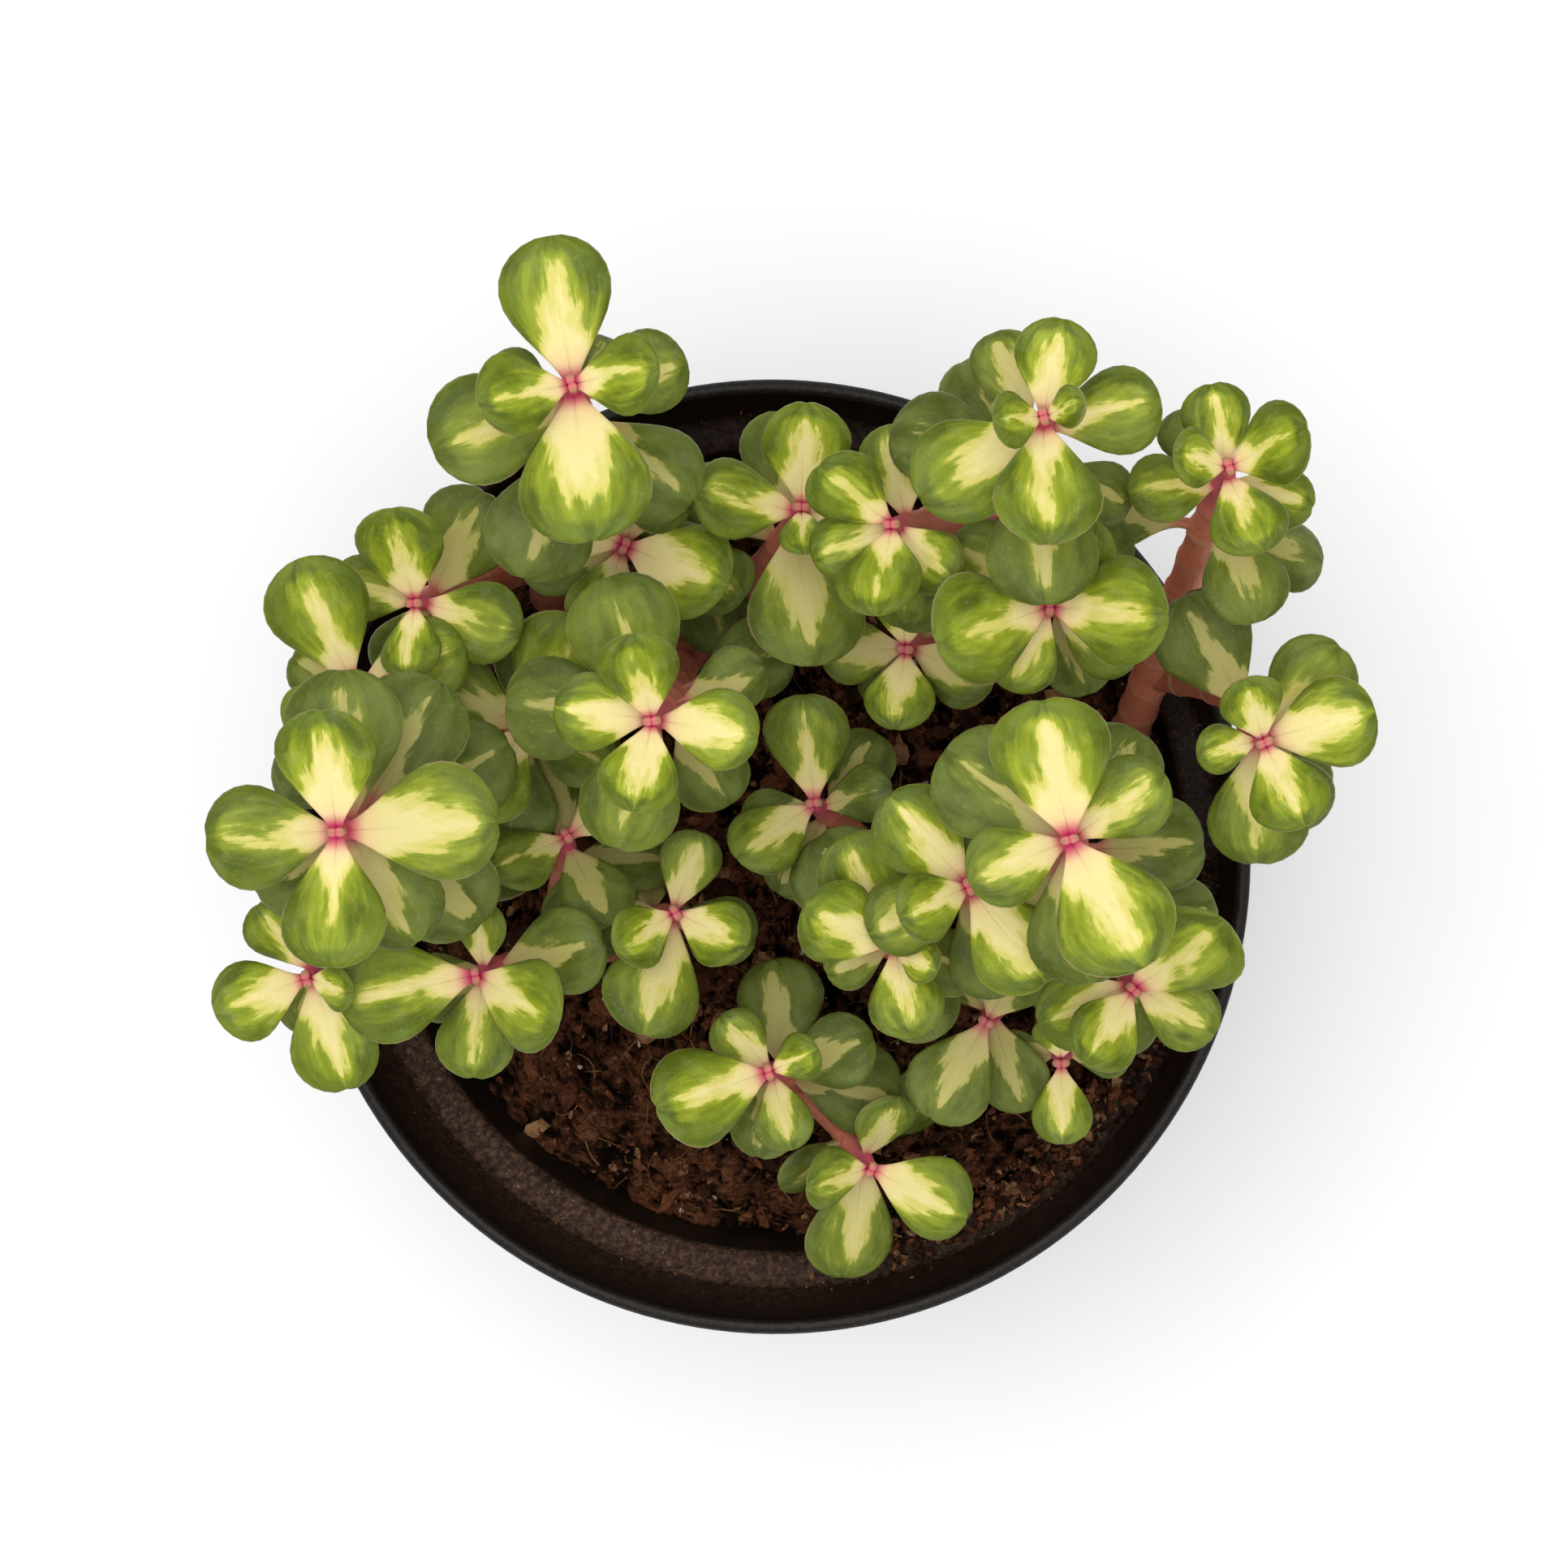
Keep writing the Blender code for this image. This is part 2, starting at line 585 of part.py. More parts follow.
def main():
    clear_scene()
    pot = make_pot()
    soil = solid("soil", soil_shape(), material("soil_dark_brown", SOIL_BROWN, 0.95), 60)
    trunks, shoots = {}, []
    for row in sorted(SHOOTS, key=lambda row: row[2] > 0):
        shoot = Shoot(row, trunks)
        if shoot.trunk:
            trunks[shoot.cutting] = shoot
        shoots.append(shoot)
    shoots.sort(key=lambda shoot: -shoot.path.points[-1].z)

    fixed = [Obstacle(turned(pot_profile(), POT_STEPS)), Obstacle(soil_shape())]
    for shoot in shoots:
        fixed.append(Obstacle(shoot.stem()))
        fixed.append(Obstacle(shoot.tip(), shoot.name))
        for level in range(shoot.crown_pairs, len(shoot.pairs)):
            fixed.append(Obstacle(shoot.clasp(level), shoot.name))
    leaves = grow(shoots, fixed)

    sockets = [solid(f"socket_{shoot.name}", shoot.socket()) for shoot in shoots if shoot.trunk]
    combine(soil, sockets, "DIFFERENCE")
    for cutting in CUTTINGS:
        bark = material(f"stem_{cutting}_red", STEM_RED, 0.55)
        own = [shoot for shoot in shoots if shoot.cutting == cutting]
        own.sort(key=lambda shoot: not shoot.trunk)
        stem = solid(f"stem_{cutting}", own[0].stem(), bark, 60)
        if own[1:]:
            combine(stem, [solid(f"branch_{shoot.name}", shoot.stem()) for shoot in own[1:]], "UNION")
    for shoot in shoots:
        green = material(f"crown_{shoot.name}_green", YOUNG_LEAF, 0.45)
        crown = solid(f"crown_{shoot.name}", shoot.tip(), green, 50)
        parts = []
        for level, side in product(range(shoot.crown_pairs), range(2)):
            parts.append(solid(f"leaf_{level}_{side}", leaf_shape(leaves[shoot.name, level, side])))
        combine(crown, parts, "UNION")
        for level in range(shoot.crown_pairs, len(shoot.pairs)):
            name = f"leaves_{shoot.name}_{level - shoot.crown_pairs + 1}"
            pair = solid(name, shoot.clasp(level), material(f"{name}_green", OLD_LEAF, 0.5), 50)
            blades = [leaf_shape(leaves[shoot.name, level, side]) for side in range(2)]
            combine(pair, [solid(f"leaf_{level}_{side}", blade) for side, blade in enumerate(blades)], "UNION")
    print(pot.name, soil.name, len(shoots), "shoots", len(leaves), "leaves")


main()
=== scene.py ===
"""The looks of the potted elephant bush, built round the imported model.

Every leaf, stem and shoot follows the plan that the model was grown from, so each piece lies where its solid
does. Plan sizes are in millimetres, with +X east, +Y north and +Z up; meshes are made in metres.
"""

import math
import random
from collections import namedtuple
from itertools import product

import bmesh
import bpy
from mathutils import Matrix, Vector, noise
from mathutils.bvhtree import BVHTree


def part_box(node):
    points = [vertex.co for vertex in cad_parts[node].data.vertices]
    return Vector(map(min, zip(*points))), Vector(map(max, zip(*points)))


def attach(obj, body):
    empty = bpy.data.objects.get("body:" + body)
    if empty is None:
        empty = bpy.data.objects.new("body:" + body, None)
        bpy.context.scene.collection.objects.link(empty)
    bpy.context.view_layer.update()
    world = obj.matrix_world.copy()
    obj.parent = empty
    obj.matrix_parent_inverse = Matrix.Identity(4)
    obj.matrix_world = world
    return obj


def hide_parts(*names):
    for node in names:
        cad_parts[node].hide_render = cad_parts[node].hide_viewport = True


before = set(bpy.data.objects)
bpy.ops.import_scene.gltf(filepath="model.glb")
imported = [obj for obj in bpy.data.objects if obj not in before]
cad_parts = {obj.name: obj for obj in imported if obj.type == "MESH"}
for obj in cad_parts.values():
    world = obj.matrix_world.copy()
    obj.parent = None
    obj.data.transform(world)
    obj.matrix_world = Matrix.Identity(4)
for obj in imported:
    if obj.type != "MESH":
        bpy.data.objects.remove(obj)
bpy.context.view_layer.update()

MM = 0.001
UP = Vector((0, 0, 1))

# ---------------------------------------------------------------- sizes of the pot, soil and plant

pot_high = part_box("pot")[1]
POT_HEIGHT = pot_high.z / MM
RIM_RADIUS = pot_high.x / MM
FOOT_RADIUS = 37.4
POT_WALL = 1.4
POT_FLOOR = 1.6
COLLAR_HEIGHT = 16.0
COLLAR_DEPTH = 3.2
LEDGE_WIDTH = 3.8
LIP_HEIGHT = 2.2
DRAIN_HOLES = 6
DRAIN_RADIUS = 4.0
DRAIN_CIRCLE = 24.0
POT_STEPS = 44
SOIL_STEPS = 36
SOIL_DEPTH_BELOW_RIM = 21.0
SOIL_HEAP = 3.0
SOIL_BUMP = 0.7
FIT = 0.3
BURIED = 12.0
TRUNK_RADIUS = 2.4
BRANCH_RADIUS = 1.8
NECK_RADIUS = 1.45
BUD_RADIUS = 0.9
LEAF_SLENDERNESS = 1.24
LEAF_THICKNESS = 2.3
CLASP_WALL = 0.8
CLASP_HEIGHT = 1.9
CLASP_SIDES = 6
MOST_CROWN_PAIRS = 4
TALL_CROWN_PAIRS = 3
PAIR_DROP = (0.6, 3.0, 6.8, 12.5, 18.5, 25.0)
RISE_AT_AGE = ((0, 60), (1, 34), (2, 17), (3, 7), (4, -2), (5, -9), (7, -14))
LEAF_STATIONS = ((0.0, 0.14, 0.6), (0.29, 0.56, 0.95), (0.62, 1.0, 1.0), (0.87, 0.76, 0.8))

LEDGE_Z = POT_HEIGHT - COLLAR_HEIGHT
COLLAR_INNER = RIM_RADIUS - COLLAR_DEPTH
WALL_TOP_INNER = COLLAR_INNER - LEDGE_WIDTH
WALL_FOOT_INNER = FOOT_RADIUS - POT_WALL

# The plant. PLANT_RISE is the height of the tallest shoot tips above the rim.
# A tip beyond the rim keeps OVERHANG_RISE of its own height at any PLANT_RISE, so its stem clears the lip.
PLANT_RISE = 52.0
OVERHANG_RISE = 24.0
LEAF_SIZE = 1.0
# The plan was drawn for a rim of this radius and shoots of this height; both stretch with the sizes above.
PLAN_RADIUS = 52.5
PLAN_RISE = 52.0
# Where each rooted cutting leaves the soil: name, (east, north).
CUTTINGS = {
    "north_west": (-27, 28),
    "west": (-37, 7),
    "centre_north": (-11, 23),
    "north_east": (23, 25),
    "east": (38, 10),
    "south_east": (33, -7),
    "centre": (14, -8),
    "south_west": (-12, -9),
    "south": (5, -28),
}
# Each shoot: name, cutting, how far up the cutting's main stem it branches (0 = it is the main stem),
# the tip's (east, north, height above the rim), and the age of its youngest leaf pair.
# Then its leaf pairs from the top down: the compass angle of the first leaf, counted from east towards
# north, and how far out each leaf of the pair reaches. A fourth number turns the second leaf.
SHOOTS = (
    ("north_east_tall", "north_east", 0, (30.8, 46.4, 52), 0.2,
     ((-168, 4.4, 3.4), (79, 9, 12.7, 12), (12, 11.6, 14.2, 21), (112, 10, 15, -20), (-28, 9, 13, 16),
      (-45, 12, 12))),
    ("north_west_tall", "north_west", 0, (-16, 49.7, 52), 0.8,
     ((-162, 8.7, 8.4, -12), (99, 14.4, 15.8, -2), (17, 11.5, 15.2, 6), (-38, 13.2, 8, 9), (-108, 14.5, 9),
      (-20, 12, 11))),
    ("west_big", "west", 0, (-40, 5, 50), 1.5,
     ((93, 12.1, 12.9, -2), (4, 16.2, 13.4, -1), (92, 16.2, 13.6, 29), (61, 15, 11.5, -28),
      (146, 10.5, 14, -11), (30, 13, 12))),
    ("east_big", "south_east", 0, (33.4, 4.4, 48), 1.3,
     ((101, 13.6, 14.2, 20), (36, 11.2, 10.6, -12), (144, 15.7, 14.4, -46), (60, 12, 13), (5, 12, 12),
      (70, 12, 12))),
    ("centre_left", "centre_north", 0, (-9, 16, 42), 0.7,
     ((98, 8.6, 8.2, -17), (171, 9.6, 10.5, 1), (109, 15, 14, -37), (22, 9.5, 14.5, -25), (-59, 11, 12),
      (20, 12, 12))),
    ("north_east_edge", "east", 0, (49.2, 41.7, 40), 0.4,
     ((20, 7.1, 5.2, -22), (101, 8.1, 9.1, 9), (-18, 9.2, 9.5, 30), (104, 9, 11.5), (-10, 11, 12))),
    ("south_centre_high", "centre", 0, (23, -1, 36), 0.6,
     ((-157, 7.2, 4.6), (-52, 12.2, 12, 4), (35, 11, 11), (-65, 12, 11))),
    ("north_inner", "north_east", 0.45, (15, 36, 36), 0.7,
     ((-90, 8.6, 8, 47), (-42, 8.3, 8.6, 65), (100, 10, 10), (60, 11, 12))),
    ("east_edge", "east", 0.3, (53, 13.8, 36), 0.7,
     ((111, 6.8, 8.1, 3), (17, 11.2, 6.4, -6), (48, 12.2, 13.2, 42), (119, 13.3, 11), (-60, 12, 12))),
    ("east_inner", "north_east", 0.25, (31.2, 27.6, 37), 0.7,
     ((-3, 11, 11.5, 20), (-117, 9, 9.5), (-34, 10.3, 12), (-72, 10, 10))),
    ("south_centre_low", "centre", 0.3, (14.8, -7.6, 28), 0.8,
     ((153, 9.2, 4.8), (-77, 9.4, 12, 10), (-156, 7.4, 9.5, -41), (115, 14, 11))),
    ("west_back", "west", 0.3, (-42.2, 19.5, 26), 0.9,
     ((110, 12.2, 7), (33, 11.5, 8), (150, 9, 10))),
    ("south_west_edge", "west", 0.22, (-47, -11.5, 26), 0.8,
     ((-165, 8.4, 5.2, -19), (-58, 12.3, 9), (25, 9, 8.8, 42))),
    ("north_back", "centre_north", 0.22, (5, 38, 24), 0.6,
     ((90, 9, 5), (175, 11, 8), (94, 12, 16), (150, 12, 10))),
    ("north_west_edge", "north_west", 0.2, (-36, 28, 23), 0.8,
     ((93, 9.6, 7), (-15, 11, 9), (60, 13, 10))),
    ("south_west_low", "south_west", 0, (-29.6, -11.4, 22), 0.9,
     ((-170, 12.1, 10.8, -31), (88, 7.5, 10.6), (16, 12.8, 10))),
    ("south_east_edge", "south_east", 0.3, (39.8, -12.5, 22), 0.7,
     ((48, 11.8, 8), (-30, 9.5, 10.2, 48), (-88, 9, 9), (20, 12, 11))),
    ("north_gap", "north_west", 0.15, (-14, 34, 20), 1.0,
     ((-22, 11, 10), (70, 10, 10), (-10, 11, 11))),
    ("west_inner", "west", 0.12, (-25, 15, 18), 1.2,
     ((62, 12, 11), (155, 12, 10), (80, 12, 13), (-15, 12, 11))),
    ("centre_gap", "south_west", 0.5, (-21, 3, 13), 1.4,
     ((35, 11, 9), (-70, 11, 12), (20, 12, 11))),
    ("south_west_inner", "south_west", 0.35, (-9, -5, 16), 0.8,
     ((-151, 7.3, 7.5, -54), (71, 8.6, 13.2, 2), (166, 13.2, 10), (85, 10, 10))),
    ("south_low", "south", 0, (1, -22, 16), 0.8,
     ((-163, 11.2, 5.6, 9), (132, 7.5, 8.2, -25), (19, 11, 9.2, 60), (98, 12.8, 12.7, 42))),
    ("north_low", "centre_north", 0.1, (-9, 34, 12), 1.3,
     ((140, 10, 9), (60, 10, 11), (-35, 11, 10))),
    ("centre_low", "north_east", 0.12, (15.4, 23.1, 14), 0.8,
     ((-93, 7.6, 7), (-22, 9.7, 8.8, 27), (55, 8, 8))),
    ("centre_bud", "centre", 0.12, (5.7, 6.6, 14), 1.3,
     ((93, 10.7, 9.4, -53), (12, 8, 8), (60, 10, 10))),
    ("south_gap", "south_east", 0.14, (24, -17, 9), 1.4,
     ((-120, 11, 10), (-55, 11, 9))),
    ("south_east_low", "south_east", 0.1, (32, -21.5, 8), 1.0,
     ((-88, 7.4, 6), (6, 7, 7))),
    ("south_rim", "south", 0.4, (11.3, -33.5, 5), 0.8,
     ((-22, 9.6, 7.4, 18), (-95, 12.9, 9), (14, 12.9, 9))),
)


def circle(count):
    """(cosine, sine) of this many even steps round."""
    angles = [2 * math.pi * i / count for i in range(count)]
    return [(math.cos(angle), math.sin(angle)) for angle in angles]


def ring(radius, height, steps):
    return [(radius * c, radius * s, height) for c, s in circle(steps)]


def side_faces(rings, sides):
    """Faces between the rings of a tube."""
    faces = []
    for k, i in product(range(rings - 1), range(sides)):
        low, high, j = k * sides, (k + 1) * sides, (i + 1) % sides
        faces.append((low + i, low + j, high + j, high + i))
    return faces


def fan(first, sides):
    """Faces from the ring that starts at the first point to the single point that follows it."""
    return [(first + i, first + (i + 1) % sides, first + sides) for i in range(sides)]


def turned(profile, steps):
    """A closed body turned round +Z from (radius, height) points that start and end on the axis."""
    points = [(0, 0, profile[0][1])]
    for radius, height in profile[1:-1]:
        points += ring(radius, height, steps)
    points.append((0, 0, profile[-1][1]))
    rings = len(profile) - 2
    faces = []
    for i in range(steps):
        j = (i + 1) % steps
        faces.append((0, 1 + j, 1 + i))
        for k in range(rings - 1):
            low, high = 1 + k * steps, 1 + (k + 1) * steps
            faces.append((low + i, low + j, high + j, high + i))
        last = 1 + (rings - 1) * steps
        faces.append((last + i, last + j, last + steps))
    return points, faces


def mound_faces(rings, steps):
    """Faces of a closed body of rings, from the centre point on top, out and down to the one underneath."""
    faces = []
    for i in range(steps):
        j = (i + 1) % steps
        faces.append((0, 1 + i, 1 + j))
        for k in range(rings - 1):
            near, far = 1 + k * steps, 1 + (k + 1) * steps
            faces.append((near + j, near + i, far + i, far + j))
        last = 1 + (rings - 1) * steps
        faces.append((last + i, last + steps, last + j))
    return faces


def wall_inner(height):
    """Radius of the pot's inner wall below the ledge."""
    share = (height - POT_FLOOR) / (LEDGE_Z - POT_FLOOR)
    return WALL_FOOT_INNER + (WALL_TOP_INNER - WALL_FOOT_INNER) * share


def pot_profile():
    lip_low = POT_HEIGHT - LIP_HEIGHT
    return (
        (0, 0),
        (FOOT_RADIUS - 1.0, 0),
        (FOOT_RADIUS, 1.0),
        (WALL_TOP_INNER + POT_WALL, LEDGE_Z - 1.4),
        (COLLAR_INNER + POT_WALL, LEDGE_Z - 0.4),
        (RIM_RADIUS - 0.9, lip_low - 0.3),
        (RIM_RADIUS, lip_low + 0.2),
        (RIM_RADIUS, POT_HEIGHT - 0.5),
        (RIM_RADIUS - 0.5, POT_HEIGHT),
        (RIM_RADIUS - 1.2, POT_HEIGHT),
        (RIM_RADIUS - 1.7, POT_HEIGHT - 0.5),
        (COLLAR_INNER, LEDGE_Z + 1.0),
        (COLLAR_INNER - 0.7, LEDGE_Z + 0.4),
        (WALL_TOP_INNER, LEDGE_Z),
        (WALL_FOOT_INNER, POT_FLOOR),
        (0, POT_FLOOR),
    )


def soil_top(east, north):
    """Height of the soil: gently uneven, and heaped against the wall to the south-east."""
    bumps = math.sin(0.21 * east + 0.6) * math.cos(0.17 * north) + 0.6 * math.sin(0.33 * north - 0.2 * east)
    towards = (0.72 * east - 0.69 * north) / WALL_TOP_INNER
    heap = max(0.0, towards - 0.2) ** 1.5 * 1.4
    return POT_HEIGHT - SOIL_DEPTH_BELOW_RIM + SOIL_BUMP * bumps + SOIL_HEAP * heap


def soil_shape():
    rings = (0.22, 0.48, 0.74, 1.0)
    points = [(0, 0, soil_top(0, 0))]
    for share, (c, s) in product(rings, circle(SOIL_STEPS)):
        radius = share * (wall_inner(POT_HEIGHT - SOIL_DEPTH_BELOW_RIM) - FIT)
        height = soil_top(radius * c, radius * s)
        if share == 1.0:
            radius = wall_inner(height) - FIT - 0.05
        points.append((radius * c, radius * s, height))
    floor = POT_FLOOR + FIT
    points += ring(wall_inner(floor + 1.0) - FIT - 0.1, floor + 1.0, SOIL_STEPS)
    points += ring(WALL_FOOT_INNER - 1.2, floor, SOIL_STEPS)
    points.append((0, 0, floor))
    return points, mound_faces(len(rings) + 2, SOIL_STEPS)


def plan_point(east, north, height):
    spread, stretch = RIM_RADIUS / PLAN_RADIUS, PLANT_RISE / PLAN_RISE
    kept = min(height, OVERHANG_RISE if math.hypot(east, north) > PLAN_RADIUS else 0)
    return Vector((east * spread, north * spread, POT_HEIGHT + kept + (height - kept) * stretch))


class Path:
    """A stem's centre line, measured from its tip: a smooth bend between two points and two directions."""

    def __init__(self, start, start_way, tip, tip_way, steps=48):
        reach = (tip - start).length
        near, far = start + start_way * reach * 0.36, tip - tip_way * reach * 0.34
        self.points = []
        for i in range(steps + 1):
            t = i / steps
            s = 1 - t
            self.points.append(s**3 * start + 3 * s * s * t * near + 3 * s * t * t * far + t**3 * tip)
        self.gone = [0.0]
        for a, b in zip(self.points, self.points[1:]):
            self.gone.append(self.gone[-1] + (b - a).length)
        self.length = self.gone[-1]

    def at(self, below_tip):
        """(point, direction towards the tip) at this distance below the tip."""
        place = min(max(self.length - below_tip, 0.0), self.length - 1e-6)
        i = next(k for k in range(len(self.gone) - 1) if self.gone[k + 1] > place)
        share = (place - self.gone[i]) / (self.gone[i + 1] - self.gone[i])
        way = (self.points[i + 1] - self.points[i]).normalized()
        return self.points[i].lerp(self.points[i + 1], share), way


def tube(rings, sides):
    """A closed tube through (centre, direction, radius) rings, from the lower end up, with flat ends."""
    points = []
    side = rings[0][1].orthogonal().normalized()
    for centre, way, radius in rings:
        side = (side - way * side.dot(way)).normalized()
        across = way.cross(side)
        points += [centre + radius * (side * c + across * s) for c, s in circle(sides)]
    ends = [tuple(reversed(range(sides))), tuple(range(len(points) - sides, len(points)))]
    return points, side_faces(len(rings), sides) + ends


class Shoot:
    """One growing shoot: its centre line, its radius along it, and its leaf pairs."""

    def __init__(self, row, trunks):
        self.name, self.cutting, branch_at, tip, self.age, self.pairs = row
        east, north = CUTTINGS[self.cutting]
        tip = plan_point(*tip)
        self.trunk = not branch_at
        if branch_at:
            trunk = trunks[self.cutting]
            above = trunk.path.length - BURIED
            start, way = trunk.path.at(above * (1 - branch_at))
            out = Vector((tip.x - start.x, tip.y - start.y, 0))
            out = out.normalized() if out.length > 1 else Vector((1, 0, 0))
            start_way = (way * 0.75 + out * 0.9).normalized()
        else:
            foot = plan_point(east, north, 0)
            start = Vector((foot.x, foot.y, soil_top(foot.x, foot.y) - BURIED))
            start_way = UP
        lean = tip - start
        tip_way = (UP * 1.3 + lean.normalized() * 0.7).normalized()
        self.path = Path(start, start_way, tip, tip_way)
        count = len(self.pairs)
        self.crown_pairs = count if count <= MOST_CROWN_PAIRS else TALL_CROWN_PAIRS
        self.crown_length = PAIR_DROP[self.crown_pairs - 1] + 2.4

    def radius(self, below):
        """Stem radius, swelling from the neck under the crown down to the root or the branch's start."""
        root = TRUNK_RADIUS if self.trunk else BRANCH_RADIUS
        share = (below - self.crown_length) / max(self.path.length - self.crown_length, 1)
        return NECK_RADIUS + (root - NECK_RADIUS) * max(0.0, share) ** 0.8

    def stem(self):
        count, sides = (7, 8) if self.trunk else (6, 6)
        low, high = self.path.length, self.crown_length
        drops = [low + (high - low) * i / (count - 1) for i in range(count)]
        return tube([(*self.path.at(below), self.radius(below)) for below in drops], sides)

    def tip(self):
        """The soft green end of the stem that carries the crown's leaves."""
        low, sides = self.crown_length - FIT, 6
        spans = ((low, NECK_RADIUS), (low * 0.45, NECK_RADIUS * 0.86), (1.0, BUD_RADIUS))
        points, faces = tube([(*self.path.at(below), radius) for below, radius in spans], sides)
        centre, way = self.path.at(1.0)
        faces[-1:] = fan(len(points) - sides, sides)
        return points + [centre + way * 1.4], faces

    def clasp_inner(self, level):
        return (self.radius(PAIR_DROP[level]) + FIT + 0.05) / math.cos(math.pi / CLASP_SIDES)

    def clasp(self, level):
        """The swollen ring round the stem that joins a lower pair of leaves."""
        centre, way = self.path.at(PAIR_DROP[level])
        side = way.orthogonal().normalized()
        across = way.cross(side)
        inner = self.clasp_inner(level)
        outer = inner + CLASP_WALL
        points, faces = [], []
        for c, s in circle(CLASP_SIDES):
            for radius, height in ((inner, -0.5), (outer, -0.35), (outer, 0.35), (inner, 0.5)):
                points.append(centre + (side * c + across * s) * radius + way * height * CLASP_HEIGHT)
        for k, n in product(range(CLASP_SIDES), range(4)):
            m, o = (k + 1) % CLASP_SIDES, (n + 1) % 4
            faces.append((4 * k + n, 4 * m + n, 4 * m + o, 4 * k + o))
        return points, faces

    def leaf_start(self, level):
        """How far from the centre line a leaf of this level starts, inside the body that carries it."""
        if level < self.crown_pairs:
            return 0.55
        return self.clasp_inner(level) + 0.25


def rise_of(age):
    for (a, low), (b, high) in zip(RISE_AT_AGE, RISE_AT_AGE[1:]):
        if age <= b:
            return low + (high - low) * (age - a) / (b - a)
    return RISE_AT_AGE[-1][1]


# A leaf leaves the stem at its origin, heading out and rising by an angle from square to the stem's way.
Leaf = namedtuple("Leaf", "origin way out rise length droop")


def leaf_frame(leaf):
    """(along, normal, across) directions of a leaf, and its (half width, half thickness)."""
    along = leaf.out * math.cos(leaf.rise) + leaf.way * math.sin(leaf.rise)
    normal = leaf.way * math.cos(leaf.rise) - leaf.out * math.sin(leaf.rise)
    half_thick = LEAF_THICKNESS / 2 * min(1.0, 0.55 + 0.45 * leaf.length / 14)
    return (along, normal, normal.cross(along)), (leaf.length / LEAF_SLENDERNESS / 2, half_thick)


def leaf_shape(leaf):
    """The fleshy obovate solid of a leaf."""
    (along, normal, across), (half_width, half_thick) = leaf_frame(leaf)
    points = []
    for share, wide, thick in LEAF_STATIONS:
        sag = leaf.droop * leaf.length * share * share
        centre = leaf.origin + along * share * leaf.length - normal * sag
        points.append(centre + across * half_width * wide)
        points.append(centre + normal * half_thick * thick)
        points.append(centre - across * half_width * wide)
        points.append(centre - normal * half_thick * thick)
    faces = [(0, 3, 2, 1)] + side_faces(len(LEAF_STATIONS), 4) + fan(len(points) - 4, 4)
    points.append(leaf.origin + along * leaf.length - normal * leaf.droop * leaf.length)
    return points, faces


class Obstacle:
    """A shape that leaves have to miss, with a ball round it to skip the far ones quickly."""

    def __init__(self, shape, owner=None):
        self.points, faces = [Vector(point) for point in shape[0]], shape[1]
        self.owner = owner
        self.tree = BVHTree.FromPolygons(self.points, faces)
        low = Vector(min(p[i] for p in self.points) for i in range(3))
        high = Vector(max(p[i] for p in self.points) for i in range(3))
        self.centre, self.reach = (low + high) / 2, (high - low).length / 2

    def hits(self, other, room):
        if (self.centre - other.centre).length > self.reach + other.reach + room:
            return False
        if self.tree.overlap(other.tree):
            return True
        for a, b in ((self, other), (other, self)):
            for point in a.points:
                if (point - b.centre).length < b.reach + room and b.tree.find_nearest(point, room)[0]:
                    return True
        return False


def outer_part(shape):
    """The leaf without its narrow base, which is allowed to meet the stem and leaves it grows among."""
    points, faces = shape
    kept = [tuple(i - 4 for i in face) for face in faces if min(face) >= 4]
    return points[4:], kept + [(0, 3, 2, 1)]


SIZES = (1.0, 0.93, 0.86, 0.78, 0.7, 0.6, 0.5, 0.4)
TURNS = sorted(product((0, 9, -9, 18, -18, 28, -28, 40, -40), (0, 8, -8, 16, -16, 26, -26, 38)),
               key=lambda turn: abs(turn[0]) + 1.2 * abs(turn[1]))


def place_leaf(shoot, level, bearing, reach, others):
    """The leaf nearest to its planned bearing, rise and size that misses everything already there."""
    origin, way = shoot.path.at(PAIR_DROP[level])
    rise = rise_of(shoot.age + level)
    length = LEAF_SIZE * reach / max(0.55, math.cos(math.radians(rise)))
    droop = 0.05 + 0.02 * level
    for size, (turn, relief_for_painted_light_and_shade) in product(SIZES, TURNS):
        angle = math.radians(bearing + turn)
        out = Vector((math.cos(angle), math.sin(angle), 0))
        out = (out - way * out.dot(way)).normalized()
        start = origin + out * shoot.leaf_start(level)
        leaf = Leaf(start, way, out, math.radians(rise + relief_for_painted_light_and_shade), length * size, droop)
        shape = leaf_shape(leaf)
        whole, outer = Obstacle(shape), Obstacle(outer_part(shape))
        for other in others:
            if (outer if other.owner == shoot.name else whole).hits(other, FIT):
                break
        else:
            return leaf
    return leaf


def grow(shoots, fixed):
    """Every leaf by (shoot name, level, side): the young pairs first, the tallest shoots first."""
    leaves = {}
    taken = list(fixed)
    deepest = max(len(shoot.pairs) for shoot in shoots)
    for level, shoot in product(range(deepest), shoots):
        if level >= len(shoot.pairs):
            continue
        bearing, first, second, *swing = shoot.pairs[level]
        for side, (angle, reach) in enumerate(((bearing, first), (bearing + 180 + sum(swing), second))):
            leaf = place_leaf(shoot, level, angle, reach, taken)
            leaves[shoot.name, level, side] = leaf
            taken.append(Obstacle(leaf_shape(leaf), shoot.name))
    return leaves


# ---------------------------------------------------------------- building pieces

def add_object(name, data):
    made = bpy.data.objects.new(name, data)
    bpy.context.scene.collection.objects.link(made)
    return made


def add_mesh(name, points, faces):
    """A new object of these points, given in mm."""
    mesh = bpy.data.meshes.new(name)
    mesh.from_pydata([Vector(point) * MM for point in points], [], faces)
    return add_object(name, mesh)


